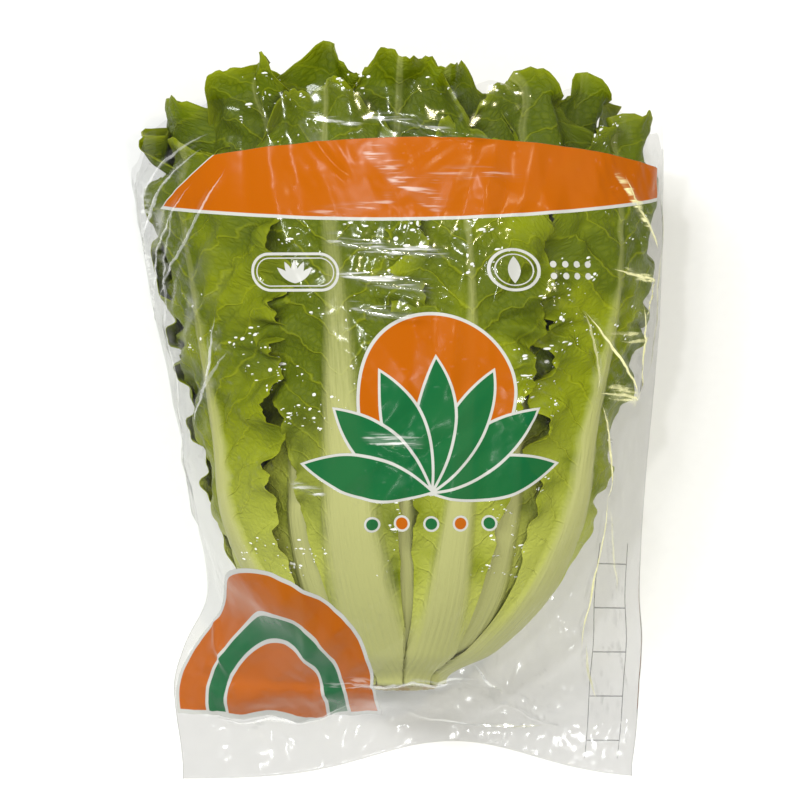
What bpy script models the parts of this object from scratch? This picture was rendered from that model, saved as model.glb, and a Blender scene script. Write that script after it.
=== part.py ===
"""A head of escarole in its clear, open-topped produce bag, lying on its side.

The head lies along Y, with its cut butt towards -Y and its leaf tips towards +Y. Z is up, and the
underside of the bag rests on Z = 0. The leaves are toothed, waved blades with thick pale ribs. They
stand in rings round a short cone of stem, each ring a little further in than the one outside it,
and the innermost leaves grow together as the heart. Sizes are in metres.
"""

import math

import bmesh
import bpy
import numpy as np

# Head: where it lies, and its outer form from the butt to the tips.
BUTT_Y = -0.126
HEAD_LENGTH = 0.292
# Each station: share of the length, half width, lowest height, highest height, shift along X.
HEAD_STATIONS = np.array([
    (0.000, 0.0195, 0.0150, 0.0540, 0.0015),
    (0.030, 0.0330, 0.0075, 0.0625, 0.0015),
    (0.065, 0.0470, 0.0045, 0.0705, 0.0015),
    (0.140, 0.0705, 0.0030, 0.0870, 0.0015),
    (0.230, 0.0860, 0.0026, 0.1000, 0.0015),
    (0.380, 0.0980, 0.0026, 0.1100, 0.0030),
    (0.600, 0.1110, 0.0026, 0.1150, 0.0030),
    (0.780, 0.1165, 0.0026, 0.1130, 0.0000),
    (1.000, 0.1150, 0.0060, 0.1050, 0.0000),
])
ROUND_SECTION = 2.0  # superellipse power of the section at the butt
TOP_SECTION = 2.3
UNDER_SECTION = 3.0  # the underside is pressed flat by the head's own weight
SECTION_SAMPLES = 180

# Stem: the short cone that every leaf grows from.
STEM_CUT_Y = -0.1275
STEM_RADIUS = 0.0150
STEM_SHOULDER = 0.0165
STEM_TIP_RADIUS = 0.0045
STEM_TIP_Y = -0.1120

# Rings of leaves, from the outside in.
RING_GAP_AT_BUTT = 0.0044
RING_GAP_AT_TIPS = 0.0112
OUTER_RING_INSET = 0.0052
BASE_CLEARANCE = 0.0026  # from the stem's skin to the middle of a leaf's base
BASE_SPREAD = 0.055  # share of the head's length in which a leaf leaves the stem
EDGE_GAP = 0.0006  # between the bases of neighbouring leaves
OVERLAP_LEAN = 0.0022  # one edge of a leaf lies this far out and the other this far in
# Each ring: where its leaves start, half width, then (place round the head, reach) for each leaf.
# Starts and reaches are shares of the head's length. Place 0 is the +X side, 0.25 faces up and
# 0.5 is the -X side. The last ring is the heart.
RINGS = (
    (0.004, 0.0415, ((0.06, 0.90), (0.19, 0.88), (0.296, 0.94), (0.43, 0.85), (0.57, 0.83),
                     (0.72, 0.87), (0.88, 0.90))),
    (0.018, 0.0370, ((0.00, 0.91), (0.13, 0.96), (0.25, 0.99), (0.365, 0.98), (0.50, 0.88),
                     (0.65, 0.92), (0.81, 0.93))),
    (0.033, 0.0340, ((0.07, 0.95), (0.20, 0.98), (0.325, 1.00), (0.47, 0.93), (0.64, 0.94),
                     (0.84, 0.95))),
    (0.047, 0.0310, ((0.02, 0.92), (0.22, 0.97), (0.40, 0.97), (0.60, 0.92), (0.80, 0.93))),
    (0.071, 0.0240, ((0.05, 0.80), (0.25, 0.88), (0.45, 0.84), (0.62, 0.78), (0.84, 0.82))),
)

# Leaf blade: outline, waves, teeth and thickness.
# Each station: share of the leaf's length, share of its half width.
LEAF_OUTLINE = np.array([
    (0.00, 0.32),
    (0.12, 0.38),
    (0.30, 0.58),
    (0.50, 0.82),
    (0.70, 0.99),
    (0.84, 1.00),
    (0.94, 0.84),
    (1.00, 0.56),
])
TIP_ROUNDING = 0.08  # share of the length by which the tip's corners stand back
ACROSS_CUTS = (-1.0, -0.62, -0.26, 0.0, 0.26, 0.62, 1.0)
ALONG_CUTS = 12
TIP_NOTCHES = (2, 4)  # the cuts across that end in a notch
TOOTH_DEPTH = 0.08  # share of the half width
TIP_TOOTH = 0.0035
WAVE_HEIGHT = 0.0016
WAVES = 3.0  # along one leaf
WAVE_TURN = 2.3  # from one leaf's wave to the next one's, in radians
RIB_THICKNESS = 0.0030
BLADE_THICKNESS = 0.0009
RIB_WIDTH_AT_BASE = 0.90  # share of the leaf's width there
RIB_WIDTH_AT_TIP = 0.10

# Heart: a slim core that the innermost leaves are sunk into.
CORE_Y = -0.1005
CORE_LENGTH = 0.0200
CORE_RADIUS = 0.0100

# Bag: a tube of film sealed flat at the bottom and open at the top.
FILM_THICKNESS = 0.0006
FILM_CLEARANCE = 0.0022  # from the head's outer form to the film's inner face
SEAL_HEIGHT = 0.0030
# Each station: Y, X of the left crease, X of the right crease, height of the creases.
BAG_STATIONS = np.array([
    (-0.165, -0.1000, 0.1080, 0.0022),
    (-0.148, -0.1020, 0.1100, 0.0024),
    (-0.126, -0.1040, 0.1115, 0.0030),
    (-0.108, -0.0985, 0.1125, 0.0050),
    (-0.086, -0.0880, 0.1110, 0.0100),
    (-0.062, -0.0895, 0.1110, 0.0220),
    (-0.030, -0.0960, 0.1120, 0.0380),
    (0.005, -0.1010, 0.1150, 0.0480),
    (0.050, -0.1110, 0.1180, 0.0550),
    (0.095, -0.1185, 0.1190, 0.0580),
    (0.145, -0.1185, 0.1185, 0.0560),
])
FRONT_RIM_Y = 0.142
RIM_DROP_LEFT = 0.040
RIM_DROP_RIGHT = 0.024
BACK_RIM_DROP = 0.010
SEAL_Y = -0.1655
SEAL_BOW = 0.012  # how far the middle of the sealed edge stands in from its corners
BUTT_DRAPE = 0.019  # length over which the film falls from the butt to the seal
HALF_ROUND_CUTS = 20
ALONG_BAG_CUTS = 19

LEAF_GLOSS = 0.45  # roughness
STEM_COLOUR = (0.80, 0.80, 0.58, 1.0)
LEAF_COLOURS = (
    (0.26, 0.42, 0.05, 1.0),
    (0.30, 0.47, 0.06, 1.0),
    (0.36, 0.52, 0.08, 1.0),
    (0.46, 0.60, 0.13, 1.0),
)
HEART_COLOUR = (0.66, 0.72, 0.26, 1.0)
FILM_COLOUR = (0.92, 0.94, 0.95, 0.30)


def spline(where, stations, column):
    """Smooth curve through one column of a station table: a cubic Hermite with central slopes."""
    places, values = stations[:, 0], stations[:, column]
    slopes = np.gradient(values, places)
    left = np.clip(np.searchsorted(places, where) - 1, 0, len(places) - 2)
    gap = places[left + 1] - places[left]
    share = np.clip((where - places[left]) / gap, 0, 1)
    cube, square = share**3, share**2
    return (
        (2 * cube - 3 * square + 1) * values[left]
        + (cube - 2 * square + share) * gap * slopes[left]
        + (3 * square - 2 * cube) * values[left + 1]
        + (cube - square) * gap * slopes[left + 1]
    )


def ease(value):
    """0 below 0, 1 above 1, and a smooth step between."""
    value = np.clip(value, 0, 1)
    return value * value * (3 - 2 * value)


def stem_radius(y):
    """Radius of the stem's cone at a place along the head."""
    share = np.clip((y - BUTT_Y) / (STEM_TIP_Y - BUTT_Y), 0, 1)
    return STEM_SHOULDER + (STEM_TIP_RADIUS - STEM_SHOULDER) * share


def middle_height(y):
    """Height of the middle of the head's section."""
    along = (y - BUTT_Y) / HEAD_LENGTH
    return float(spline(along, HEAD_STATIONS, 2) + spline(along, HEAD_STATIONS, 3)) / 2


def ring_inset(ring, along):
    """How far the middle of a ring lies inside the head's outer form."""
    gap = RING_GAP_AT_BUTT + (RING_GAP_AT_TIPS - RING_GAP_AT_BUTT) * ease((along - 0.02) / 0.42)
    outer = OUTER_RING_INSET * (0.45 + 0.55 * ease(along / 0.25))
    return outer + ring * gap


def section(along, inset, start):
    """X and Z of the closed section at each place along the head, as two tables of samples.

    The section is a superellipse, inset from the head's outer form. Where the ring starts, it is a
    circle just outside the stem.
    """
    along, inset = np.atleast_1d(along), np.atleast_1d(inset)
    low, high = spline(along, HEAD_STATIONS, 2), spline(along, HEAD_STATIONS, 3)
    half_width = spline(along, HEAD_STATIONS, 1) - inset
    half_height = (high - low) / 2 - inset
    if start is not None:
        base = stem_radius(BUTT_Y + start * HEAD_LENGTH) + BASE_CLEARANCE
        spread = ease((along - start) / BASE_SPREAD)
        half_width = base + (half_width - base) * spread
        half_height = base + (half_height - base) * spread
    angle = np.linspace(0, 2 * math.pi, SECTION_SAMPLES + 1)[None, :]
    squared = ease(along / 0.3)[:, None]
    top = ROUND_SECTION + (TOP_SECTION - ROUND_SECTION) * squared
    under = ROUND_SECTION + (UNDER_SECTION - ROUND_SECTION) * squared
    power = np.where(np.sin(angle) >= 0, top, under)
    reach = (np.abs(np.cos(angle)) ** power + np.abs(np.sin(angle)) ** power) ** (-1 / power)
    x = spline(along, HEAD_STATIONS, 4)[:, None] + half_width[:, None] * reach * np.cos(angle)
    z = ((high + low) / 2)[:, None] + half_height[:, None] * reach * np.sin(angle)
    return x, z


def at_arc(x, z, middle, across, half_width, room, slack):
    """A point of a closed section, a share of the leaf's half width past the place called middle.

    The half width gives way where it passes the leaf's room, a share of the whole section, and slack.
    """
    lengths = np.concatenate([[0], np.cumsum(np.hypot(np.diff(x), np.diff(z)))])
    whole = lengths[-1]
    offset = across * min(half_width, room * whole + slack)
    place = np.mod(middle * whole + offset, whole)
    return np.interp(place, lengths, x), np.interp(place, lengths, z)


def leaf_wave(place, across, phase):
    """Waves of the blade, which grow towards its edges and its tip."""
    lift = np.abs(across) ** 1.6 * ease((place - 0.25) / 0.3)
    return WAVE_HEIGHT * lift * np.sin(2 * math.pi * WAVES * place + phase + 0.9 * across)


def rooms(middles):
    """Half the share of the way round from each leaf of a ring to its nearer neighbour."""
    gaps = np.diff([*middles, middles[0] + 1])
    return np.minimum(gaps, np.roll(gaps, 1)) / 2


def leaf_points(ring, middle, reach, room, phase):
    """A leaf's surface at each of its grid places, with the thickness share of its rib."""
    start, half_width, _ = RINGS[ring]
    points = np.zeros((ALONG_CUTS + 1, len(ACROSS_CUTS), 3))
    ribs = np.zeros(points.shape[:2])
    across = np.array(ACROSS_CUTS)
    edge = np.abs(across) > 0.99
    for row in range(ALONG_CUTS + 1):
        place = row / ALONG_CUTS
        notch = TOOTH_DEPTH * (row % 2) * (0 < row < ALONG_CUTS)
        width = half_width * spline(place, LEAF_OUTLINE, 1) * (1 - notch * edge)
        along = start + (reach - start) * place * (1 - TIP_ROUNDING * across**2 * place)
        if row == ALONG_CUTS:
            notched = np.isin(np.arange(len(across)), TIP_NOTCHES)
            along = along - TIP_TOOTH / HEAD_LENGTH * notched
        lean = OVERLAP_LEAN * across * ease((along - start) / 0.30)
        inset = ring_inset(ring, along) + lean + leaf_wave(place, across, phase)
        x, z = section(along, inset, start)
        slack = half_width * ease((place - 0.10) / 0.30) - EDGE_GAP
        for column in range(len(across)):
            at = at_arc(x[column], z[column], middle, across[column], width[column], room, slack)
            points[row, column] = at[0], BUTT_Y + along[column] * HEAD_LENGTH, at[1]
        rib_width = RIB_WIDTH_AT_BASE + (RIB_WIDTH_AT_TIP - RIB_WIDTH_AT_BASE) * ease(place / 0.8)
        ribs[row] = np.clip(1.25 - np.abs(across) / rib_width, 0, 1) * (1 - 0.75 * ease(place))
    return points, ribs


def material(name, colour, roughness):
    """A Principled material of one colour."""
    made = bpy.data.materials.new(name)
    made.use_nodes = True
    shader = made.node_tree.nodes["Principled BSDF"]
    shader.inputs["Base Color"].default_value = colour
    shader.inputs["Roughness"].default_value = roughness
    shader.inputs["Metallic"].default_value = 0.0
    shader.inputs["Alpha"].default_value = colour[3]
    made.diffuse_color = colour
    return made


def add_object(name, mesh, collection, finish):
    """A named object for a mesh, in its collection and with its material."""
    mesh.materials.append(finish)
    made = bpy.data.objects.new(name, mesh)
    collection.objects.link(made)
    return made


def grid_mesh(name, columns, rows, place_of):
    """A triangulated sheet: a grid whose vertex in column i and row j is moved to place_of(i, j)."""
    sheet = bmesh.new()
    bmesh.ops.create_grid(sheet, x_segments=columns, y_segments=rows, size=0.5)
    for vertex in sheet.verts:
        column = round((vertex.co.x + 0.5) * columns)
        row = round((vertex.co.y + 0.5) * rows)
        vertex.co = place_of(column, row)
    bmesh.ops.triangulate(sheet, faces=sheet.faces[:], quad_method="FIXED")
    mesh = bpy.data.meshes.new(name)
    sheet.to_mesh(mesh)
    sheet.free()
    return mesh


def thicken_leaf(leaf, ribs):
    """Solidify the sheet, with the rib thicker than the blade."""
    group = leaf.vertex_groups.new(name="rib")
    for index, (row, column) in enumerate(np.ndindex(ribs.shape)):
        group.add([index], float(ribs[row, column]), "REPLACE")
    wall = leaf.modifiers.new("thickness", "SOLIDIFY")
    wall.thickness = RIB_THICKNESS
    wall.thickness_vertex_group = BLADE_THICKNESS / RIB_THICKNESS
    wall.vertex_group = group.name
    wall.offset = 0.0


def make_ring(ring, first, name, collection, finish):
    """The leaves of one ring: grids of vertices laid on the ring, thick at the rib."""
    leaves = RINGS[ring][2]
    for count, ((middle, reach), room) in enumerate(zip(leaves, rooms([leaf[0] for leaf in leaves]))):
        number = first + count
        points, ribs = leaf_points(ring, middle, reach, room, WAVE_TURN * number)
        title = f"{name}_{number:02d}"
        mesh = grid_mesh(title, len(ACROSS_CUTS) - 1, ALONG_CUTS, lambda column, row: points[row, column])
        thicken_leaf(add_object(title, mesh, collection, finish), ribs)


def make_leaves(collection):
    """Every leaf outside the heart, numbered from the outside in."""
    first = 1
    for ring, colour in enumerate(LEAF_COLOURS):
        make_ring(ring, first, "leaf", collection, material(f"ring_{ring + 1}_leaf", colour, LEAF_GLOSS))
        first += len(RINGS[ring][2])


def make_stem(collection):
    """The cut butt and the cone of stem above it: a profile turned about the head's axis."""
    height, tip_height = middle_height(BUTT_Y), middle_height(STEM_TIP_Y)
    tilt = math.atan2(tip_height - height, STEM_TIP_Y - BUTT_Y)
    profile = (
        (0.0, STEM_TIP_Y - BUTT_Y),
        (STEM_TIP_RADIUS, STEM_TIP_Y - BUTT_Y - 0.0010),
        (STEM_SHOULDER, 0.0006),
        (STEM_RADIUS, STEM_CUT_Y - BUTT_Y),
        (0.0, STEM_CUT_Y - BUTT_Y),
    )
    mesh = bpy.data.meshes.new("stem_butt")
    mesh.from_pydata([(x, 0.0, y) for x, y in profile], [(i, i + 1) for i in range(len(profile) - 1)], [])
    stem = add_object("stem_butt", mesh, collection, material("stem", STEM_COLOUR, 0.6))
    stem.location = (HEAD_STATIONS[0, 4], BUTT_Y, height)
    stem.rotation_euler = (tilt - math.pi / 2, 0.0, 0.0)
    turn = stem.modifiers.new("turn", "SCREW")
    turn.axis = "Z"
    turn.steps = turn.render_steps = 20
    turn.use_merge_vertices = True
    turn.merge_threshold = 0.0001
    return stem


def make_heart(collection):
    """The innermost leaves, grown together: slim blades sunk into a core and joined to it."""
    finish = material("heart_leaf", HEART_COLOUR, LEAF_GLOSS)
    sheaf = bpy.data.collections.new("heart_blades")
    collection.children.link(sheaf)
    make_ring(len(RINGS) - 1, 1, "heart_blade", sheaf, finish)
    mesh = bpy.data.meshes.new("heart")
    core = bmesh.new()
    bmesh.ops.create_uvsphere(core, u_segments=12, v_segments=8, radius=1.0)
    for vertex in core.verts:
        x, y, z = vertex.co
        along = CORE_Y + CORE_LENGTH / 2 * z
        vertex.co = HEAD_STATIONS[1, 4] + CORE_RADIUS * x, along, middle_height(along) - CORE_RADIUS * y
    bmesh.ops.recalc_face_normals(core, faces=core.faces[:])
    core.to_mesh(mesh)
    core.free()
    heart = add_object("heart", mesh, collection, finish)
    join = heart.modifiers.new("join", "BOOLEAN")
    join.operation = "UNION"
    join.solver = "MANIFOLD"
    join.operand_type = "COLLECTION"
    join.collection = sheaf
    bpy.context.view_layer.objects.active = heart
    bpy.context.view_layer.update()
    graph = bpy.context.evaluated_depsgraph_get()
    joined = bpy.data.meshes.new_from_object(heart.evaluated_get(graph))
    heart.modifiers.clear()
    heart.data = joined
    for blade in list(sheaf.objects):
        bpy.data.objects.remove(blade)
    bpy.data.collections.remove(sheaf)
    return heart


def hull(points):
    """Corners of the tight loop round a set of points, anticlockwise from its rightmost one."""
    ordered = sorted(map(tuple, points))

    def chain(walk):
        kept = []
        for point in walk:
            while len(kept) > 1 and (
                (kept[-1][0] - kept[-2][0]) * (point[1] - kept[-2][1])
                <= (kept[-1][1] - kept[-2][1]) * (point[0] - kept[-2][0])
            ):
                kept.pop()
            kept.append(point)
        return kept

    return chain(ordered), chain(ordered[::-1])


def along_chain(chain, count):
    """Points spread evenly by length along a chain of corners."""
    corners = np.array(chain)
    lengths = np.concatenate([[0], np.cumsum(np.hypot(*np.diff(corners, axis=0).T))])
    places = np.linspace(0, lengths[-1], count)
    return np.stack([np.interp(places, lengths, corners[:, k]) for k in (0, 1)], axis=1)


def bag_section(y):
    """The bag's inner face at one Y: the tight loop round the head's section and the two creases."""
    along = (y - BUTT_Y) / HEAD_LENGTH
    x, z = section(np.clip(along, 0, 1), -FILM_CLEARANCE, None)
    x, z = x[0], z[0]
    fall = ease((BUTT_Y - 0.002 - y) / BUTT_DRAPE)
    floor = FILM_THICKNESS
    z = floor + (np.maximum(z, floor) - floor) * (1 - fall) + SEAL_HEIGHT / 2 * fall
    crease_height = float(spline(y, BAG_STATIONS, 3))
    creases = [
        (float(spline(y, BAG_STATIONS, column)), height)
        for column in (1, 2)
        for height in (max(floor, crease_height - 0.0008), crease_height + 0.0008)
    ]
    flat = [(0.75 * creases[0][0], floor), (0.75 * creases[2][0], floor)]
    under, over = hull(list(zip(x, z)) + creases + flat)
    return along_chain(over, HALF_ROUND_CUTS + 1), along_chain(under, HALF_ROUND_CUTS + 1)


def bag_loop_y(side, share):
    """Y along the bag for a place round it: side runs from 1 on the right to -1 on the left."""
    rim = FRONT_RIM_Y - np.where(side > 0, RIM_DROP_RIGHT, RIM_DROP_LEFT) * np.abs(side) ** 3
    seal = SEAL_Y + SEAL_BOW * (1 - side**2)
    return seal + (rim - seal) * share


def make_bag(collection):
    """The film: a tube laid round the head, closed at the seal, thickened outwards."""
    around = 2 * HALF_ROUND_CUTS
    rows = ALONG_BAG_CUTS + 1
    points = np.zeros((rows, around, 3))
    shares = np.linspace(0, 1, rows) ** 0.85
    for row, share in enumerate(shares):
        for column in range(around):
            upper = column <= HALF_ROUND_CUTS
            place = column if upper else around - column
            side = 1 - 2 * place / HALF_ROUND_CUTS
            y = float(bag_loop_y(np.float64(side), share)) - (0 if upper else BACK_RIM_DROP * share)
            over, under = bag_section(y)
            x, z = over[place] if upper else under[HALF_ROUND_CUTS - place]
            points[row, column] = x, y, z
    tube = bmesh.new()
    loops = [[tube.verts.new(points[row, column]) for column in range(around)] for row in range(rows)]
    for lower, higher in zip(loops[:-1], loops[1:]):
        for column in range(around):
            after = (column + 1) % around
            tube.faces.new((lower[column], lower[after], higher[after], higher[column]))
    for column in range(HALF_ROUND_CUTS):
        ends = {column, column + 1, around - column - 1, (around - column) % around}
        tube.faces.new([loops[0][end] for end in sorted(ends)])
    bmesh.ops.recalc_face_normals(tube, faces=tube.faces[:])
    bmesh.ops.triangulate(tube, faces=tube.faces[:], quad_method="FIXED")
    mesh = bpy.data.meshes.new("bag_film")
    tube.to_mesh(mesh)
    tube.free()
    bag = add_object("bag_film", mesh, collection, material("film", FILM_COLOUR, 0.12))
    wall = bag.modifiers.new("film_wall", "SOLIDIFY")
    wall.thickness = FILM_THICKNESS
    wall.offset = 1.0
    return bag


def main():
    for old in list(bpy.data.objects):
        bpy.data.objects.remove(old)
    escarole = bpy.data.collections.new("escarole")
    bpy.context.scene.collection.children.link(escarole)
    make_stem(escarole)
    make_leaves(escarole)
    make_heart(escarole)
    make_bag(escarole)


main()
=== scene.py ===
"""The looks of a head of escarole that lies in its clear, printed produce bag.

Metres, +Z up, the head along +Y with its cut butt at -Y. Places on the flat film are in millimetres.
"""

import math

import bpy
import numpy as np
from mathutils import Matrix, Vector


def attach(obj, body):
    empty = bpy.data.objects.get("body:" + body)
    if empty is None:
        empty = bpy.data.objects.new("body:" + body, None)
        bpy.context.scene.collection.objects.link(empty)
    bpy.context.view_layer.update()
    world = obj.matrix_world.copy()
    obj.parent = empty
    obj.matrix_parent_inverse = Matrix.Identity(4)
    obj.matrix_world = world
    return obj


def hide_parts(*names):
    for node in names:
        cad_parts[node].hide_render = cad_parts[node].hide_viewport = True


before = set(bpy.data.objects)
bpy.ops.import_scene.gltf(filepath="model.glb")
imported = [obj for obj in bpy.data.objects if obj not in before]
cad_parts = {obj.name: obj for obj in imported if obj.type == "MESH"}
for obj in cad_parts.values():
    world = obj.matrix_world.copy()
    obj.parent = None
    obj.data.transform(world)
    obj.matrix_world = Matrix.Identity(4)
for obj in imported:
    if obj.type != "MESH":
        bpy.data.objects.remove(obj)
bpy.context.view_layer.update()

# View
# The head lies on a pale table, and the camera looks straight down on it.
# The light is a soft studio one, with small lamps that make the film sparkle. The glints on the water, and
# glares and lines of light on the film, are painted into their colour.
VIEW_WIDTH = 0.360  # of the scene, seen across the picture at the height of VIEW_HEIGHT
VIEW_HEIGHT = 0.060
CAMERA_PLACE = (0.0005, 0.0040, 2.000)
SENSOR_MM = 36.0

camera = bpy.data.objects.new("camera", bpy.data.cameras.new("camera"))
camera.location = CAMERA_PLACE
camera.data.sensor_width = SENSOR_MM
camera.data.lens = SENSOR_MM * (CAMERA_PLACE[2] - VIEW_HEIGHT) / VIEW_WIDTH
camera.data.clip_end = 20.0
bpy.context.scene.collection.objects.link(camera)
bpy.context.scene.camera = camera
bpy.context.scene.view_settings.view_transform = "Standard"

# Each lamp: place, side of its square, power in watts, colour. Only the small ones show as glints.
LAMPS = (
    ((-0.95, 0.80, 1.35), 0.55, 14.5, (1.00, 1.00, 1.00)),
    ((1.05, 0.30, 1.30), 0.60, 5.6, (1.00, 0.97, 0.92)),
    ((0.05, -1.20, 1.45), 0.60, 6.5, (0.98, 0.99, 1.00)),
    ((-0.50, 0.78, 1.55), 0.20, 4.0, (0.97, 0.99, 1.00)),
    ((-0.30, 0.52, 1.50), 0.08, 3.6, (1.00, 1.00, 1.00)),
    ((0.42, 0.36, 1.45), 0.07, 3.2, (1.00, 0.88, 0.60)),
    ((0.18, -0.45, 1.50), 0.07, 2.2, (1.00, 1.00, 1.00)),
    ((-0.10, 0.20, 1.85), 0.05, 1.8, (1.00, 1.00, 1.00)),
)
LARGEST_GLINT = 0.30  # the side of the largest lamp that shows as a glint
ROOM_LIGHT = (0.99, 1.00, 0.97, 1.0)
ROOM_STRENGTH = 0.36

for number, (place, side, power, colour) in enumerate(LAMPS):
    lamp = bpy.data.objects.new(f"lamp_{number}", bpy.data.lights.new(f"lamp_{number}", "AREA"))
    lamp.data.size, lamp.data.energy, lamp.data.color = side, power, colour
    lamp.location = place
    lamp.visible_glossy = side < LARGEST_GLINT
    toward_bag = Vector((0.0, 0.0, VIEW_HEIGHT)) - lamp.location
    lamp.rotation_euler = toward_bag.to_track_quat("-Z", "Y").to_euler()
    bpy.context.scene.collection.objects.link(lamp)

room = bpy.data.worlds.new("room")
room.use_nodes = True
room.node_tree.nodes["Background"].inputs["Color"].default_value = ROOM_LIGHT
room.node_tree.nodes["Background"].inputs["Strength"].default_value = ROOM_STRENGTH
bpy.context.scene.world = room


class Wire:
    """The output of a node inside a formula: each operator adds the Math node that it stands for."""

    def __init__(self, tree, socket):
        self.tree, self.socket = tree, socket

    def math(self, operation, *values):
        """A Math node on numbers and other outputs."""
        node = self.tree.nodes.new("ShaderNodeMath")
        node.operation = operation
        for entry, value in zip(node.inputs, values):
            feed(self.tree, entry, value)
        return Wire(self.tree, node.outputs[0])

    def __add__(self, other):
        return self.math("ADD", self, other)

    def __radd__(self, other):
        return self.math("ADD", other, self)

    def __sub__(self, other):
        return self.math("SUBTRACT", self, other)

    def __rsub__(self, other):
        return self.math("SUBTRACT", other, self)

    def __mul__(self, other):
        return self.math("MULTIPLY", self, other)

    def __rmul__(self, other):
        return self.math("MULTIPLY", other, self)

    def __truediv__(self, other):
        return self.math("DIVIDE", self, other)

    def __pow__(self, other):
        return self.math("POWER", self, other)

    def __abs__(self):
        return self.math("ABSOLUTE", self)

    def larger(self, other):
        """The larger of the two."""
        return self.math("MAXIMUM", self, other)

    def smaller(self, other):
        """The smaller of the two."""
        return self.math("MINIMUM", self, other)

    def fraction(self):
        """The value less the whole number below it."""
        return self.math("FRACT", self)


def feed(tree, entry, value):
    """Link a formula's output to a socket, or set the socket to a number, a vector or an opaque colour."""
    if isinstance(value, Wire):
        tree.links.new(value.socket, entry)
    elif entry.type == "RGBA":
        entry.default_value = (*value, 1.0)
    else:
        entry.default_value = value


class Finish:
    """A material being made: its node tree, its shader, and one method for every other node."""

    def __init__(self, name, **constants):
        self.material = bpy.data.materials.new(name)
        self.material.use_nodes = True
        self.tree = self.material.node_tree
        self.shader = self.tree.nodes["Principled BSDF"]
        for socket, value in constants.items():
            self.shader.inputs[socket.replace("_", " ")].default_value = value

    def node(self, kind, settings, sockets, output=0):
        """Add a node of a kind, with its settings first and then the values or links of its sockets."""
        node = self.tree.nodes.new(kind)
        for name, value in settings.items():
            setattr(node, name, value)
        for name, value in sockets.items():
            feed(self.tree, node.inputs[name], value)
        return Wire(self.tree, node.outputs[output])

    def drive(self, socket, value):
        """Feed a formula into one of the shader's sockets."""
        feed(self.tree, self.shader.inputs[socket], value)

    def places(self):
        """The piece's own place in space, in metres."""
        return self.node("ShaderNodeTexCoord", {}, {}, "Object")

    def value(self, name):
        """A number that the mesh holds at each of its vertices."""
        return self.node("ShaderNodeAttribute", {"attribute_name": name}, {}, "Fac")

    def axis(self, vector, letter):
        """One part of a vector."""
        return self.node("ShaderNodeSeparateXYZ", {}, {0: vector}, letter)

    def stretch(self, vector, factors):
        """A vector with each part multiplied by its own factor."""
        return self.node("ShaderNodeVectorMath", {"operation": "MULTIPLY"}, {0: vector, 1: factors})

    def grain(self, vector, scale, detail=2.0):
        """Smooth random values about 0.5."""
        return self.node("ShaderNodeTexNoise", {}, {"Vector": vector, "Scale": scale, "Detail": detail})

    def step(self, value, low, high):
        """0 below low, 1 above high and a smooth step between."""
        return self.node(
            "ShaderNodeMapRange", {"interpolation_type": "SMOOTHSTEP"},
            {0: value, 1: low, 2: high, 3: 0.0, 4: 1.0},
        )

    def blend(self, share, first, second):
        """A colour between two others."""
        return self.node("ShaderNodeMix", {"data_type": "RGBA"}, {0: share, 6: first, 7: second}, 2)

    def relief(self, height, distance):
        """Bumps of a height from 0 to 1 times distance, in metres, under the shader's gloss."""
        bump = self.node("ShaderNodeBump", {}, {"Height": height, "Distance": distance, "Strength": 1.0})
        self.drive("Normal", bump)


def piece(name, points, faces, finish, flat=None, values=None):
    """A smooth mesh object from an array of points and a list of face arrays, one for each corner count.

    flat is each point's place on the flat piece, and values are its other numbers, by name.
    """
    corners = np.concatenate([group.ravel() for group in faces]).astype(np.int32)
    sizes = np.concatenate([np.full(len(group), group.shape[1]) for group in faces])
    mesh = bpy.data.meshes.new(name)
    mesh.vertices.add(len(points))
    mesh.vertices.foreach_set("co", points.astype(np.float32).ravel())
    mesh.loops.add(len(corners))
    mesh.loops.foreach_set("vertex_index", corners)
    mesh.polygons.add(len(sizes))
    mesh.polygons.foreach_set("loop_start", (np.cumsum(sizes) - sizes).astype(np.int32))
    mesh.polygons.foreach_set("use_smooth", np.ones(len(sizes), bool))
    mesh.update(calc_edges=True)
    if flat is not None:
        mesh.uv_layers.new(name="flat").data.foreach_set("uv", flat[corners].astype(np.float32).ravel())
    for title, numbers in (values or {}).items():
        mesh.attributes.new(title, "FLOAT", "POINT").data.foreach_set("value", numbers.astype(np.float32))
    mesh.materials.append(finish.material)
    made = bpy.data.objects.new(name, mesh)
    bpy.context.scene.collection.objects.link(made)
    return made


def grid_faces(rows, columns, closed=False):
    """The quads of a grid of vertices, closed across where its last column meets its first."""
    low = np.arange(rows - 1)[:, None] * columns
    column = np.arange(columns if closed else columns - 1)[None, :]
    after = (column + 1) % columns
    corners = (low + column, low + columns + column, low + columns + after, low + after)
    return np.stack(np.broadcast_arrays(*corners), axis=-1).reshape(-1, 4)


TABLE_SIZE, TABLE_CUTS = 4.0, 9
TABLE_DROP = 0.0004  # the table's top lies this far under the bag
TABLE_GREY, TABLE_WHITE = (0.90, 0.90, 0.90), (0.94, 0.94, 0.94)

table_finish = Finish("table", Roughness=0.75)
speckle = table_finish.grain(table_finish.places(), 220.0, 3.0)
table_finish.drive("Base Color", table_finish.blend(speckle, TABLE_GREY, TABLE_WHITE))
span = np.linspace(-TABLE_SIZE / 2, TABLE_SIZE / 2, TABLE_CUTS)
table_x, table_y = np.meshgrid(span, span)
table_points = np.stack([table_x, table_y, np.full_like(table_x, -TABLE_DROP)], axis=-1).reshape(-1, 3)
table = piece("table", table_points, [grid_faces(TABLE_CUTS, TABLE_CUTS)[:, ::-1]], table_finish)


# Stem
# The short cone of stem that the leaves grow from, cut across when the head was harvested.
# Its cut face has dried a little brown, with the ring of veins that fed the leaves.
BUTT_Y = -0.126
HEAD_LENGTH = 0.292
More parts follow.
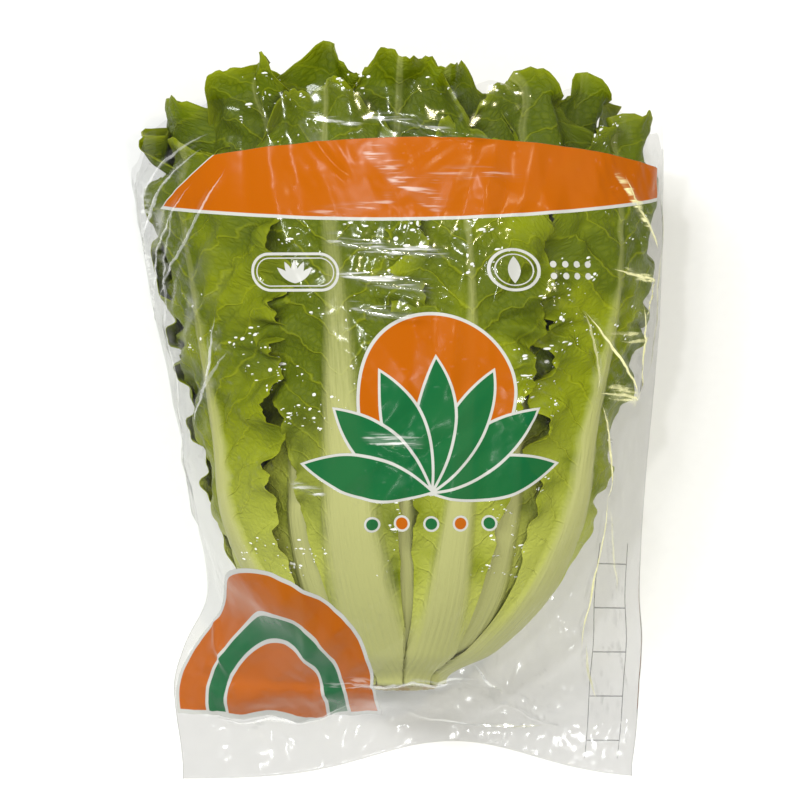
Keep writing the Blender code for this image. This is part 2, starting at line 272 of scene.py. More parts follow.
# Each station: share of the length, half width, lowest height, highest height, shift along X.
HEAD_STATIONS = np.array([
    (0.000, 0.0195, 0.0150, 0.0540, 0.0015),
    (0.030, 0.0330, 0.0075, 0.0625, 0.0015),
    (0.065, 0.0470, 0.0045, 0.0705, 0.0015),
    (0.140, 0.0705, 0.0030, 0.0870, 0.0015),
    (0.230, 0.0860, 0.0026, 0.1000, 0.0015),
    (0.380, 0.0980, 0.0026, 0.1100, 0.0030),
    (0.600, 0.1110, 0.0026, 0.1150, 0.0030),
    (0.780, 0.1165, 0.0026, 0.1130, 0.0000),
    (1.000, 0.1150, 0.0060, 0.1050, 0.0000),
])
STEM_CUT_Y = -0.1275
STEM_RADIUS, STEM_SHOULDER = 0.0150, 0.0165
STEM_TIP_RADIUS, STEM_TIP_Y = 0.0045, -0.1120
POLE_RADIUS = 0.0004  # of the small ring that is left at each end, under its cap
# The stem's profile, from the middle of the cut to the tip inside the head: radius, Y.
STEM_PROFILE = np.array([
    (POLE_RADIUS, STEM_CUT_Y + 0.0011),
    (0.0040, STEM_CUT_Y + 0.0009),
    (0.0080, STEM_CUT_Y + 0.0004),
    (0.0120, STEM_CUT_Y + 0.0001),
    (STEM_RADIUS - 0.0008, STEM_CUT_Y),
    (STEM_RADIUS, STEM_CUT_Y + 0.0004),
    (STEM_SHOULDER, BUTT_Y + 0.0006),
    (0.0140, BUTT_Y + 0.0030),
    (0.0100, BUTT_Y + 0.0078),
    (0.0062, BUTT_Y + 0.0120),
    (STEM_TIP_RADIUS * 0.6, STEM_TIP_Y - 0.0008),
    (POLE_RADIUS, STEM_TIP_Y),
])
STEM_ROWS, STEM_COLUMNS = 67, 96
STEM_WOBBLE, CUT_ROUGHNESS = 0.020, 0.0003  # as a share of the radius, and in metres
VEIN_RING_RADIUS = 0.0095
STEM_CREAM = (0.52, 0.48, 0.27)
STEM_RUST = (0.34, 0.15, 0.05)


def spline(where, stations, column):
    """Smooth curve through one column of a station table: a cubic Hermite with central slopes."""
    places, values = stations[:, 0], stations[:, column]
    slopes = np.gradient(values, places)
    left = np.clip(np.searchsorted(places, where) - 1, 0, len(places) - 2)
    gap = places[left + 1] - places[left]
    share = np.clip((where - places[left]) / gap, 0, 1)
    cube, square = share**3, share**2
    return (
        (2 * cube - 3 * square + 1) * values[left]
        + (cube - 2 * square + share) * gap * slopes[left]
        + (3 * square - 2 * cube) * values[left + 1]
        + (cube - square) * gap * slopes[left + 1]
    )


def ease(value):
    """0 below 0, 1 above 1, and a smooth step between."""
    value = np.clip(value, 0, 1)
    return value * value * (3 - 2 * value)


def bumps(x, y, seed):
    """Smooth random heights from -1 to 1: random values at whole numbers, eased into each other."""
    size = 64
    table = np.random.default_rng(seed).uniform(-1, 1, (size, size))
    column, row = np.floor(x).astype(int), np.floor(y).astype(int)
    over, up = ease(x - column), ease(y - row)
    left, right, lines = column % size, (column + 1) % size, (row % size, (row + 1) % size)
    low, high = (table[line, left] * (1 - over) + table[line, right] * over for line in lines)
    return low * (1 - up) + high * up


def middle_height(y):
    """Height of the middle of the head's section."""
    along = (y - BUTT_Y) / HEAD_LENGTH
    return (spline(along, HEAD_STATIONS, 2) + spline(along, HEAD_STATIONS, 3)) / 2


def capped(rows, columns):
    """The faces of a closed grid whose first and last rows are small rings, with a cap over each."""
    ring = np.arange(columns)[None]
    return [grid_faces(rows, columns, closed=True), ring, ring[:, ::-1] + (rows - 1) * columns]


def stem_points():
    """A profile turned about the head's axis: out over the cut face, round its rim and in along the cone.

    Each point moves in or out by a few tenths of a millimetre, so that the cut is not a true disc.
    """
    stations = np.arange(len(STEM_PROFILE))
    steps = np.linspace(0, stations[-1], STEM_ROWS)
    radius, y = (np.interp(steps, stations, STEM_PROFILE[:, k]) for k in (0, 1))
    angle = np.linspace(0, 2 * math.pi, STEM_COLUMNS, endpoint=False)
    radius, angle = np.meshgrid(radius, angle, indexing="ij")
    right, up = np.cos(angle), np.sin(angle)
    radius = radius * (1 + STEM_WOBBLE * bumps(7 * right + 20, 7 * up + 20 + 300 * radius, 3))
    y = y[:, None] + CUT_ROUGHNESS * bumps(1400 * radius * right + 30, 1400 * radius * up + 30, 4)
    return np.stack([HEAD_STATIONS[0, 4] + radius * right, y, middle_height(y) + radius * up], axis=-1)


stem_finish = Finish("stem", Roughness=0.55)
stem_place = stem_finish.places()
# Distance from the middle of the cut, from its X and Z.
across_cut = stem_finish.axis(stem_place, "X") - float(HEAD_STATIONS[0, 4])
up_cut = stem_finish.axis(stem_place, "Z") - float(middle_height(STEM_CUT_Y))
from_middle = (across_cut * across_cut + up_cut * up_cut) ** 0.5
fibre = stem_finish.grain(stem_place, 900.0, 4.0)
rust = stem_finish.step(stem_finish.grain(stem_place, 190.0, 3.0) + fibre * 0.4, 0.62, 0.86)
from_ring = abs(from_middle - VEIN_RING_RADIUS + (fibre - 0.5) * 0.002)
vein_ring = 1 - stem_finish.step(from_ring, 0.0004, 0.0016)
stem_finish.drive("Base Color", stem_finish.blend(rust * 0.45 + vein_ring * 0.22, STEM_CREAM, STEM_RUST))
stem_finish.relief(fibre + vein_ring * 0.5, 0.0006)
stem = piece("cut_stem", stem_points().reshape(-1, 3), capped(STEM_ROWS, STEM_COLUMNS), stem_finish)
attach(stem, "root")
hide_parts("stem_butt")


# Leaves
# Each grew as one blade: a broad, crisp, pale rib at the base that thins towards the tip, and a
# green blade, puckered between its side veins, ruffled and toothed at the margin.
# Four rings of them lie round each other, each leaf a little over its neighbour's edge.
RING_GAP_AT_BUTT, RING_GAP_AT_TIPS = 0.0044, 0.0112  # from one ring to the next one in
OUTER_RING_INSET = 0.0052
BASE_CLEARANCE, BASE_SPREAD = 0.0026, 0.055  # off the stem, and the length over which a ring leaves it
EDGE_GAP, OVERLAP_LEAN = 0.0006, 0.0022
ROUND_SECTION, TOP_SECTION, UNDER_SECTION = 2.0, 2.3, 3.0  # powers of the superellipse
SECTION_SAMPLES = 96
# Each ring: where its leaves start, half width, then (place round the head, reach) for each leaf.
# The last ring is the heart's.
RINGS = (
    (0.004, 0.0415, ((0.06, 0.90), (0.19, 0.88), (0.296, 0.94), (0.43, 0.85), (0.57, 0.83),
                     (0.72, 0.87), (0.88, 0.90))),
    (0.018, 0.0370, ((0.00, 0.91), (0.13, 0.96), (0.25, 0.99), (0.365, 0.98), (0.50, 0.88),
                     (0.65, 0.92), (0.81, 0.93))),
    (0.033, 0.0340, ((0.07, 0.95), (0.20, 0.98), (0.325, 1.00), (0.47, 0.93), (0.64, 0.94),
                     (0.84, 0.95))),
    (0.047, 0.0310, ((0.02, 0.92), (0.22, 0.97), (0.40, 0.97), (0.60, 0.92), (0.80, 0.93))),
    (0.071, 0.0240, ((0.05, 0.80), (0.25, 0.88), (0.45, 0.84), (0.62, 0.78), (0.84, 0.82))),
)
# Each station: share of the leaf's length, share of its half width.
LEAF_OUTLINE = np.array([
    (0.00, 0.32), (0.12, 0.38), (0.30, 0.58), (0.50, 0.82),
    (0.70, 1.02), (0.84, 1.12), (0.94, 1.06), (1.00, 0.84),
])
TIP_ROUNDING = 0.11
# The half width of some leaves as a share of their ring's, by leaf number. The others differ by chance.
LEAF_WIDTHS = {1: 0.86, 2: 0.84, 3: 1.00, 4: 1.06, 9: 0.94, 10: 0.96}
EDGE_CROWDING, TIP_CROWDING = 0.62, 1.22  # how far columns gather at the margins, and rows at the tip
SHOULDER_AT, END_ROUNDNESS = 0.62, 0.62  # the margin turns in past this share of the length
END_FROM, END_OVER = 0.70, 0.30  # the end of the blade, as shares of the length
GROWN_FROM, GROWN_OVER = 0.14, 0.34  # where ruffles and teeth begin, and the length they grow over
LOBE_LENGTH, LOBE_DEPTH = 0.027, 0.0045
LOBE_DRIFT, DRIFT_LENGTH = 0.006, 0.017
SCALLOP_LENGTH, SCALLOP_DEPTH = 0.0115, 0.0021
TOOTH_LENGTH, TOOTH_DEPTH = 0.0050, 0.0018
RUFFLE_LENGTH, RUFFLE_HEIGHT = 0.033, 0.0060
CURL_LENGTH, CURL_HEIGHT = 0.0110, 0.0023
CRUMPLE_SIZE, CRUMPLE_HEIGHT = 0.0115, 0.0019
VEIN_SPACING, VEIN_SLANT, PUCKER_HEIGHT = 0.0140, 1.05, 0.0007
SWELL_HEIGHT, SWELL_WIDTH, SWELL_LENGTH = 0.0020, 0.045, 0.060
SWAY = 0.006  # how far the end of a leaf may bend to one side
RUFFLE_LIMIT, FREE_RUFFLE_LIMIT = 0.0042, 0.0090  # in the blade, and at its free end
BAG_RIM_Y = 0.136  # a leaf is free past here and pressed under the film before it
SIDE_RIM_DROP = 0.034  # the rim hangs this much lower at the sides
FREE_EARLY, FREE_OVER = 0.002, 0.014  # it comes free this far before the rim, and over this length
SIDE_FLARE = 0.0080  # how far the free ends at the left lean out
IN_BAG_INSET, FREE_RISE = -0.0002, 0.0110  # from the head's outer form: inside the bag, and past it
INSET_SOFTNESS = 0.0012  # over which a blade eases to a stop under the film
MARGIN_THICKNESS = 0.00030
BROADEST_RIB, BROADEST_FACTOR = 3, 1.55  # the number of the leaf with the broadest rib, and by how much
BROADEST_TAPER, RIB_TAPER = 1.3, 2.0
RIB_RISE_AT_BASE, RIB_RISE = 0.0017, 0.0032
RIB_HALF_AT_BASE, RIB_HALF_AT_TIP = 0.0132, 0.0010
INNER_RIB_SHARE = 0.25  # how much of the rib's rise shows on the inner skin
GROOVE_SPACING, GROOVE_DEPTH = 0.0027, 0.00016  # of the fine grooves along a rib
LOWEST_LEAF = 0.0008  # no leaf reaches lower, since the film lies under it
# Rows and columns of a leaf's grid, and how far its end leans out, ring by ring.
LEAF_GRIDS = ((200, 60), (170, 50), (120, 36), (96, 30), (70, 20))
TIP_FLARES = (0.0015, 0.0040, 0.0050, 0.0040, 0.0)


def head_section(along, inset, start):
    """X and Z of the closed section at each place along the head, as two tables of samples.

    The section is a superellipse, inset from the head's outer form. Where the ring starts, it is a
    circle just outside the stem.
    """
    low, high = spline(along, HEAD_STATIONS, 2), spline(along, HEAD_STATIONS, 3)
    half_width = spline(along, HEAD_STATIONS, 1) - inset
    half_height = (high - low) / 2 - inset
    if start is not None:
        cone = np.clip(start * HEAD_LENGTH / (STEM_TIP_Y - BUTT_Y), 0, 1)
        base = STEM_SHOULDER + (STEM_TIP_RADIUS - STEM_SHOULDER) * cone + BASE_CLEARANCE
        spread = ease((along - start) / BASE_SPREAD)
        half_width = base + (half_width - base) * spread
        half_height = base + (half_height - base) * spread
    angle = np.linspace(0, 2 * math.pi, SECTION_SAMPLES + 1)[None, :]
    squared = ease(along / 0.3)[:, None]
    top = ROUND_SECTION + (TOP_SECTION - ROUND_SECTION) * squared
    under = ROUND_SECTION + (UNDER_SECTION - ROUND_SECTION) * squared
    power = np.where(np.sin(angle) >= 0, top, under)
    reach = (np.abs(np.cos(angle)) ** power + np.abs(np.sin(angle)) ** power) ** (-1 / power)
    x = spline(along, HEAD_STATIONS, 4)[:, None] + half_width[:, None] * reach * np.cos(angle)
    z = ((high + low) / 2)[:, None] + half_height[:, None] * reach * np.sin(angle)
    return x, z


def ring_inset(ring, along):
    """How far the middle of a ring lies inside the head's outer form."""
    gap = RING_GAP_AT_BUTT + (RING_GAP_AT_TIPS - RING_GAP_AT_BUTT) * ease((along - 0.02) / 0.42)
    return OUTER_RING_INSET * (0.45 + 0.55 * ease(along / 0.25)) + ring * gap


def round_section(x, z, middle, offset, limit):
    """The point of each closed section that lies offset past the place called middle, by length.

    limit holds a share of the section and a slack, past which the offset gives way.
    """
    steps = np.hypot(np.diff(x, axis=1), np.diff(z, axis=1))
    lengths = np.concatenate([np.zeros((len(x), 1)), np.cumsum(steps, axis=1)], axis=1)
    whole = lengths[:, -1]
    room = limit[0] * whole + limit[1]
    place = np.mod(middle * whole + offset * np.minimum(1, room / np.maximum(np.abs(offset), 1e-9)), whole)
    before = np.clip((lengths <= place[:, None]).sum(axis=1) - 1, 0, SECTION_SAMPLES - 1)
    each = np.arange(len(x))
    share = (place - lengths[each, before]) / steps[each, before]
    return (
        x[each, before] + (x[each, before + 1] - x[each, before]) * share,
        z[each, before] + (z[each, before + 1] - z[each, before]) * share,
    )


def margin_cut(length, seed):
    """How far the margin stands in from its outline: broad lobes, round scallops and small uneven teeth."""
    wander = length + LOBE_DRIFT * bumps(length / DRIFT_LENGTH, np.full_like(length, 0.5), seed)
    lobe = 0.5 - 0.5 * np.cos(2 * math.pi * wander / LOBE_LENGTH + seed)
    scallop = 1 - np.abs(np.cos(math.pi * wander / SCALLOP_LENGTH + 1.7 * seed)) ** 0.6
    tooth = np.mod(wander / TOOTH_LENGTH, 1)
    point = np.minimum(tooth / 0.6, (1 - tooth) / 0.4)
    uneven = 0.6 + 0.4 * bumps(wander / SCALLOP_LENGTH, np.full_like(length, 3.5), seed)
    return LOBE_DEPTH * lobe + (SCALLOP_DEPTH * scallop + TOOTH_DEPTH * (1 - point)) * uneven


def unit(vectors):
    """Vectors with their length made 1."""
    return vectors / np.maximum(np.linalg.norm(vectors, axis=-1, keepdims=True), 1e-12)


def leaf_lift(x, y, place, across, fan, rib_half, number, slope):
    """How far a blade stands off its ring: ruffles, curls, pucker between the veins, crumples and swells.

    Ruffles and curls are sines of the length along the margin, fan, and grow towards it. Pucker is a
    cosine across the side veins. Crumples and swells are smooth random heights.
    """
    edge = np.abs(across)
    end = np.clip((place - END_FROM) / END_OVER, 0, 1)
    margin = 1 - (1 - edge**2.2) * (1 - end**2.5)
    wander = 1.1 * bumps(x / 0.026 + 9, y / 0.026, number) + slope * across
    ruffle = RUFFLE_HEIGHT * margin * np.sin(2 * math.pi * fan / RUFFLE_LENGTH + 2.3 * number + wander)
    corner = 1 - 0.9 * ease((edge - 0.75) / 0.25) * ease((place - 0.80) / 0.16)
    curl = np.sin(2 * math.pi * fan / CURL_LENGTH + 1.7 * number + 2 * wander)
    curl = CURL_HEIGHT * corner * margin**3 * curl
    pucker = np.cos(2 * math.pi * (y - VEIN_SLANT * np.abs(x) + 0.004 * wander) / VEIN_SPACING)
    coarse, fine = x / CRUMPLE_SIZE, y / CRUMPLE_SIZE
    crumple = bumps(coarse + 20, fine, number + 50) + 0.4 * bumps(coarse * 2.3 + 7, fine * 2.3, number + 90)
    ribbed = ease(1.35 - np.abs(x) / (rib_half * 1.25))
    blade = (PUCKER_HEIGHT * pucker + CRUMPLE_HEIGHT * crumple) * (1 - ribbed)
    swell = SWELL_HEIGHT * bumps(x / SWELL_WIDTH + 3, y / SWELL_LENGTH, number + 130)
    lift = ease((place - GROWN_FROM) / GROWN_OVER) * (ruffle * (1 + 0.7 * end**2) + curl + blade + swell)
    limit = RUFFLE_LIMIT + (FREE_RUFFLE_LIMIT - RUFFLE_LIMIT) * ease((place - 0.86) / 0.12)
    return limit * np.tanh(lift / limit), margin, ribbed


def leaf_skins(blade, x, place, rib_half, ribbed):
    """Both skins of a blade, moved off its middle surface along its normal: a half round over the rib."""
    outward = unit(np.cross(np.gradient(blade, axis=0), np.gradient(blade, axis=1)))
    rise = RIB_RISE_AT_BASE + (RIB_RISE - RIB_RISE_AT_BASE) * ease(place / 0.25)
    rise = rise * (1 - 0.88 * ease((place - 0.2) / 0.75))
    bulge = np.sqrt(np.clip(1 - (x / rib_half) ** 2, 0, 1)) * rise + 0.0003 * ribbed
    grooves = GROOVE_DEPTH * np.cos(2 * math.pi * x / GROOVE_SPACING) * ribbed * (1 - place)
    outer = blade + outward * (MARGIN_THICKNESS / 2 + bulge + grooves)[..., None]
    inner = blade - outward * (MARGIN_THICKNESS / 2 + INNER_RIB_SHARE * bulge)[..., None]
    return outer, inner, outward


def shell_faces(rows, columns):
    """The faces of a shell whose rows run over the outer skin and back over the inner one."""
    column = np.arange(columns - 1)
    base_cap = np.stack([column, column + 1, 2 * columns - 2 - column, 2 * columns - 1 - column], axis=-1)
    tip_cap = base_cap[:, ::-1] + (rows - 1) * 2 * columns
    return [grid_faces(rows, 2 * columns, closed=True), base_cap, tip_cap]


def leaf_shell(ring, middle, reach, room, number):
    """A leaf as a closed shell, with its flat places in mm, its vertex values, and its outer skin.

    The blade is a grid of columns across, from -1 to 1, and rows along, from 0 to 1. Its outline is cut
    into lobes and teeth, and its middle surface lies on its ring of the head, moved out by its lift. The
    outer skin rises over the rib, and both skins meet at the margin.
    """
    chance = np.random.default_rng(100 + number)
    start, half_width, _ = RINGS[ring]
    rows, columns = LEAF_GRIDS[ring]
    column = np.linspace(-1, 1, columns)
    across = np.sin(column * math.pi / 2) * EDGE_CROWDING + column * (1 - EDGE_CROWDING)
    place = 1 - (1 - np.linspace(0, 1, rows)) ** TIP_CROWDING
    place, across = np.meshgrid(place, across, indexing="ij")
    edge, end = np.abs(across), np.clip((place - END_FROM) / END_OVER, 0, 1)
    length = (reach - start) * HEAD_LENGTH
    share = LEAF_WIDTHS.get(number, chance.uniform(0.90, 1.08))
    half = half_width * spline(place.ravel(), LEAF_OUTLINE, 1).reshape(place.shape) * share
    x, y = across * half, place * length

    # Length along the margin: straight up the sides, then round the end of the blade.
    shoulder = SHOULDER_AT * length
    turned = np.arctan2(np.maximum(y - shoulder, 0), np.abs(x) + 1e-6)
    fan = np.where(y < shoulder, y, shoulder + END_ROUNDNESS * (length - shoulder + half_width) * turned)

    # Lobes and teeth, cut from the sides and from the end.
    grown = ease((place - GROWN_FROM) / GROWN_OVER)
    side_cut = margin_cut(y + 0.01 * np.sign(across), 3 * number) * grown * edge**3
    x = x - np.sign(across) * side_cut * (1 - 0.8 * end**4)
    end_cut = margin_cut(x + 0.1, 3 * number + 1) * end**6 * 1.5 * (1 - 0.6 * edge**6)

    # The rib, which narrows from the base to the tip, and the lift of the blade on both sides of it.
    slope = chance.uniform(1.2, 2.2)
    broadest = number == BROADEST_RIB
    broad = RIB_HALF_AT_BASE * (BROADEST_FACTOR if broadest else chance.uniform(0.75, 1.10))
    narrowing = (1 - place) ** (BROADEST_TAPER if broadest else RIB_TAPER)
    rib_half = RIB_HALF_AT_TIP + (broad - RIB_HALF_AT_TIP) * narrowing
    lift, margin, ribbed = leaf_lift(x, y, place, across, fan, rib_half, number, slope)

    # How far inside the head's outer form the blade lies: pressed under the film, and free past its rim.
    along = start + (reach - start) * place * (1 - TIP_ROUNDING * across**2 * place) - end_cut / HEAD_LENGTH
    facing_side, facing_up = math.cos(2 * math.pi * middle), math.sin(2 * math.pi * middle)
    flare = TIP_FLARES[ring] * chance.uniform(0.4, 1.5) * (1 - 2.0 * ease((-facing_up - 0.1) / 0.4))
    flare = flare * ease((place - END_FROM) / END_OVER) ** 1.5
    lean = OVERLAP_LEAN * across * ease((along - start) / 0.30)
    at_side = abs(facing_side) ** 3
    blade_y = BUTT_Y + along * HEAD_LENGTH
    free = ease((blade_y - BAG_RIM_Y + SIDE_RIM_DROP * at_side + FREE_EARLY) / FREE_OVER)
    highest = IN_BAG_INSET - (FREE_RISE + IN_BAG_INSET) * free
    lean_out = SIDE_FLARE * at_side * free * (1.0 if facing_side < 0 else -0.3)
    inset = ring_inset(ring, along) + lean - lift - flare - lean_out
    inset = highest + INSET_SOFTNESS * np.logaddexp(0, (inset - highest) / INSET_SOFTNESS)
    section_x, section_z = head_section(along.ravel(), inset.ravel(), start)
    sway = SWAY * chance.uniform(-1, 1) * place**2
    sway = sway + SWAY / 2 * chance.uniform(-1, 1) * np.sin(math.pi * place)
    slack = half_width * 1.3 * ease((place - 0.10) / 0.30) - EDGE_GAP
    offset = x + sway * grown
    blade_x, blade_z = round_section(section_x, section_z, middle, offset.ravel(), (room, slack.ravel()))
    blade = np.stack([blade_x, blade_y.ravel(), blade_z], axis=-1).reshape(*x.shape, 3)

    outer, inner, outward = leaf_skins(blade, x, place, rib_half, ribbed)
    shell = np.concatenate([outer, inner[:, ::-1]], axis=1)
    shell[..., 2] = np.maximum(shell[..., 2], LOWEST_LEAF)

    paleness = ease(1.3 - np.abs(x) / (rib_half * 1.05 + 0.0006)) * (1 - 0.58 * ease((place - 0.22) / 0.55))
    fields = {
        "pale": np.maximum(paleness, (1 - ease((place - 0.04) / 0.16)) * 0.90),
        "young": 1 - ease((place - 0.08) / 0.45),
        "margin": margin,
        "tone": np.full_like(place, chance.uniform(0, 1)),
    }

    def both(field):
        """A field of the blade, for both of its skins."""
        return np.concatenate([field, field[:, ::-1]], axis=1)

    flat = np.stack([both(x * 1000), both(y * 1000)], axis=-1).reshape(-1, 2)
    values = {name: both(field).ravel() for name, field in fields.items()}
    skin = outer.reshape(-1, 3), outward.reshape(-1, 3)
    return shell.reshape(-1, 3), shell_faces(rows, columns), flat, values, skin


YOUNG_GREEN = (0.530, 0.565, 0.120)  # of the blade beside the rib, near the base


def leaf_finish(name, deep, fresh, bright, rib):
    """Leaf skin: greens that wander, a net of veins, paler side veins, a bright margin and a pale rib."""
    finish = Finish(name, Specular_IOR_Level=0.13)
    flat = finish.node("ShaderNodeUVMap", {"uv_map": "flat"}, {})
    pale, margin, tone, young = (finish.value(field) for field in ("pale", "margin", "tone", "young"))
    across, along = finish.axis(flat, "X"), finish.axis(flat, "Y")
    drift = finish.grain(flat, 0.075, 2.0)
    cloud = finish.grain(finish.places(), 26.0, 3.0)
    # Side veins leave the rib slanting forwards, 14 mm apart.
    course = (along - abs(across) * VEIN_SLANT + (drift - 0.5) * 16) / (VEIN_SPACING * 1000)
    from_vein = abs(course.fraction() - 0.5) * 2
    side_vein = finish.step(from_vein, 0.84, 0.99) * (1 - margin * 0.75)
    net = {"feature": "DISTANCE_TO_EDGE"}
    cell = finish.step(finish.node("ShaderNodeTexVoronoi", net, {"Vector": flat, "Scale": 0.34}), 0.0, 0.30)
    freshness = cloud + (tone - 0.5) * 0.22 + (young - 0.30) * 0.26
    freshness = freshness - finish.step(along, 150.0, 250.0) * 0.15
    green = finish.blend(finish.step(freshness, 0.36, 0.64), deep, fresh)
    green = finish.blend(cell * drift * 0.14, green, bright)
    green = finish.blend(side_vein * 0.32, green, bright)
    green = finish.blend(margin**8.0 * 0.35, green, bright)
    green = finish.blend(young * finish.step(cloud, 0.30, 0.55) * 0.85, green, YOUNG_GREEN)
    streak = finish.grain(finish.stretch(flat, (1.0, 0.06, 1.0)), 0.9, 2.0)
    ribbed = finish.step(pale + (streak - 0.5) * 0.30, 0.12, 0.92)
    finish.drive("Base Color", finish.blend(ribbed, green, rib))
    finish.drive("Roughness", 0.30 + drift * 0.22)
    fine = finish.grain(flat, 1.6, 2.0)
    height = (cell * 0.13 + fine * 0.14 + side_vein * 0.30) * (1 - ribbed) + (streak * 0.3 + 0.4) * ribbed
    finish.relief(height, 0.0014)
    return finish


def rooms(leaves):
    """Half the share of the way round from each leaf of a ring to its nearer neighbour."""
    gaps = np.diff([*(middle for middle, _ in leaves), leaves[0][0] + 1])
    return np.minimum(gaps, np.roll(gaps, 1)) / 2


# Each ring's deep, fresh and bright greens, and its rib.
LEAF_TONES = (
    ((0.088, 0.122, 0.001), (0.215, 0.260, 0.001), (0.390, 0.440, 0.006), (0.455, 0.465, 0.180)),
    ((0.070, 0.101, 0.001), (0.190, 0.234, 0.001), (0.380, 0.430, 0.006), (0.450, 0.460, 0.178)),
    ((0.076, 0.112, 0.001), (0.190, 0.240, 0.001), (0.370, 0.425, 0.006), (0.470, 0.480, 0.190)),
    ((0.090, 0.130, 0.001), (0.220, 0.275, 0.001), (0.370, 0.425, 0.008), (0.460, 0.470, 0.190)),
)

WET_RINGS = 3  # the rings that carry drops of water

wet_skins = []
leaf_number = 1
for ring, tones in enumerate(LEAF_TONES):
    skin = leaf_finish(f"ring_{ring + 1}_leaf_skin", *tones)
    leaves = RINGS[ring][2]
    for (middle, reach), room in zip(leaves, rooms(leaves)):
        shell, faces, flat, values, outer_skin = leaf_shell(ring, middle, reach, room, leaf_number)
        if ring < WET_RINGS:
            wet_skins.append(outer_skin)
        leaf = piece(f"escarole_leaf_{leaf_number:02d}", shell, faces, skin, flat, values)
        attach(leaf, "root")
        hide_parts(f"leaf_{leaf_number:02d}")
        leaf_number += 1


# Heart
# The innermost leaves, still small, pale yellow and grown together at a short core.
# They stand inside the outer rings, and little of them shows.
CORE_Y, CORE_LENGTH, CORE_RADIUS = -0.1005, 0.0200, 0.0100
CORE_ROWS, CORE_COLUMNS = 18, 28
CORE_POLE_ANGLE = 0.12  # of the small ring that is left at each end, under its cap
FIRST_HEART_LEAF = 40  # the number of the heart's first leaf
HEART_TONES = (
    (0.260, 0.300, 0.030), (0.360, 0.400, 0.060), (0.450, 0.480, 0.110), (0.560, 0.570, 0.300),
)


def core_points():
    """An ellipsoid about the head's axis: rings of points whose radius is the sine of their angle."""
    tilt = np.linspace(CORE_POLE_ANGLE, math.pi - CORE_POLE_ANGLE, CORE_ROWS)
    turn = np.linspace(0, 2 * math.pi, CORE_COLUMNS, endpoint=False)
    tilt, turn = np.meshgrid(tilt, turn, indexing="ij")
    y = CORE_Y - CORE_LENGTH / 2 * np.cos(tilt)
    radius = CORE_RADIUS * np.sin(tilt)
    x = HEAD_STATIONS[1, 4] + radius * np.cos(turn)
    return np.stack([x, y, middle_height(y) + radius * np.sin(turn)], axis=-1).reshape(-1, 3)


core = core_points()
core_values = {"pale": np.ones(len(core))}
core_values.update({name: np.zeros(len(core)) for name in ("young", "margin", "tone")})
heart_parts = [(core, capped(CORE_ROWS, CORE_COLUMNS), np.zeros((len(core), 2)), core_values)]
heart_leaves = RINGS[-1][2]
for count, ((middle, reach), room) in enumerate(zip(heart_leaves, rooms(heart_leaves))):
    heart_parts.append(leaf_shell(len(RINGS) - 1, middle, reach, room, FIRST_HEART_LEAF + count)[:4])
points, faces, flats, values = zip(*heart_parts)
firsts = np.cumsum([0] + [len(part) for part in points])
heart = piece(
    "escarole_heart",
    np.concatenate(points),
    [group + first for groups, first in zip(faces, firsts) for group in groups],
    leaf_finish("heart_leaf_skin", *HEART_TONES),
    np.concatenate(flats),
    {name: np.concatenate([part[name] for part in values]) for name in core_values},
)
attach(heart, "root")
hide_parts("heart")


# Bag
# One tube of thin clear film, welded across the bottom and open at the top, pulled over the head.
# It is printed on its front, has a ladder of boxes on its back, and is creased where it was gripped. Glares
# of the lamps and light along its long creases are painted into its colour.
FILM_CLEARANCE = 0.0022  # off the head's outer form
FILM_FLOOR = 0.0006  # the height of the film under the head
SEAL_HEIGHT = 0.0006
# Each station: Y, X of the left crease, X of the right crease, height of the creases.
BAG_STATIONS = np.array([
    (-0.165, -0.1000, 0.1080, 0.0022),
    (-0.148, -0.1020, 0.1100, 0.0024),
    (-0.126, -0.1040, 0.1115, 0.0030),
    (-0.108, -0.0985, 0.1125, 0.0050),
    (-0.086, -0.0880, 0.1110, 0.0100),
    (-0.062, -0.0895, 0.1110, 0.0220),
    (-0.030, -0.0960, 0.1120, 0.0380),
    (0.005, -0.1010, 0.1150, 0.0480),
    (0.050, -0.1110, 0.1180, 0.0550),
    (0.095, -0.1185, 0.1190, 0.0580),
    (0.145, -0.1185, 0.1185, 0.0560),
])
FRONT_RIM_Y = 0.142
RIM_DROP_LEFT, RIM_DROP_RIGHT, BACK_RIM_DROP = 0.040, 0.024, 0.010
SEAL_Y, BUTT_DRAPE = -0.1715, 0.019  # the film comes down from the butt to the weld over this length
DRAPE_START = 0.002  # past the butt
SEAL_BOW, SEAL_BOW_AT, SEAL_BOW_WIDTH = 0.0175, 0.20, 0.50  # the weld is drawn up: how far, and where
FILM_COLUMNS, FILM_ROWS = 196, 236  # across one panel, and along the bag
FILM_AROUND = 2 * FILM_COLUMNS
FLAT_SHARE = 0.75  # how much of the way out to a crease the film lies on the table
SECTION_STEPS, SECTION_ROWS = 120, 96
SMOOTHING_ROWS, SMOOTHING_SPREAD = 12, 4.5  # to each side of a section
PANEL_HALF_MM = 145.0
FILM_FLUTTER, BACK_FLUTTER = 1.8, 0.4  # of the rim: height in mm, and the back's share of it
BACK_FOLDS = 0.22  # the folds of the back as a share of the front's, since the bag lies on it
BULGE_SIZE, BULGE_HEIGHT = 36.0, 1.2  # in mm
GRIP_PLACE, GRIP_SIZE = (-112, 62), (22, 52)  # where the left side was gripped: U, V, half sizes in mm
# U runs across the flat bag from the middle of its front, and V along the bag, both in mm.
# Each set of folds: direction in degrees, spacing and height in mm, seed.
FOLD_SETS = (
    (-58, 24.0, 1.7, 11),
    (12, 40.0, 1.8, 12),
    (84, 30.0, 1.6, 13),
    (-24, 17.0, 1.3, 14),
)
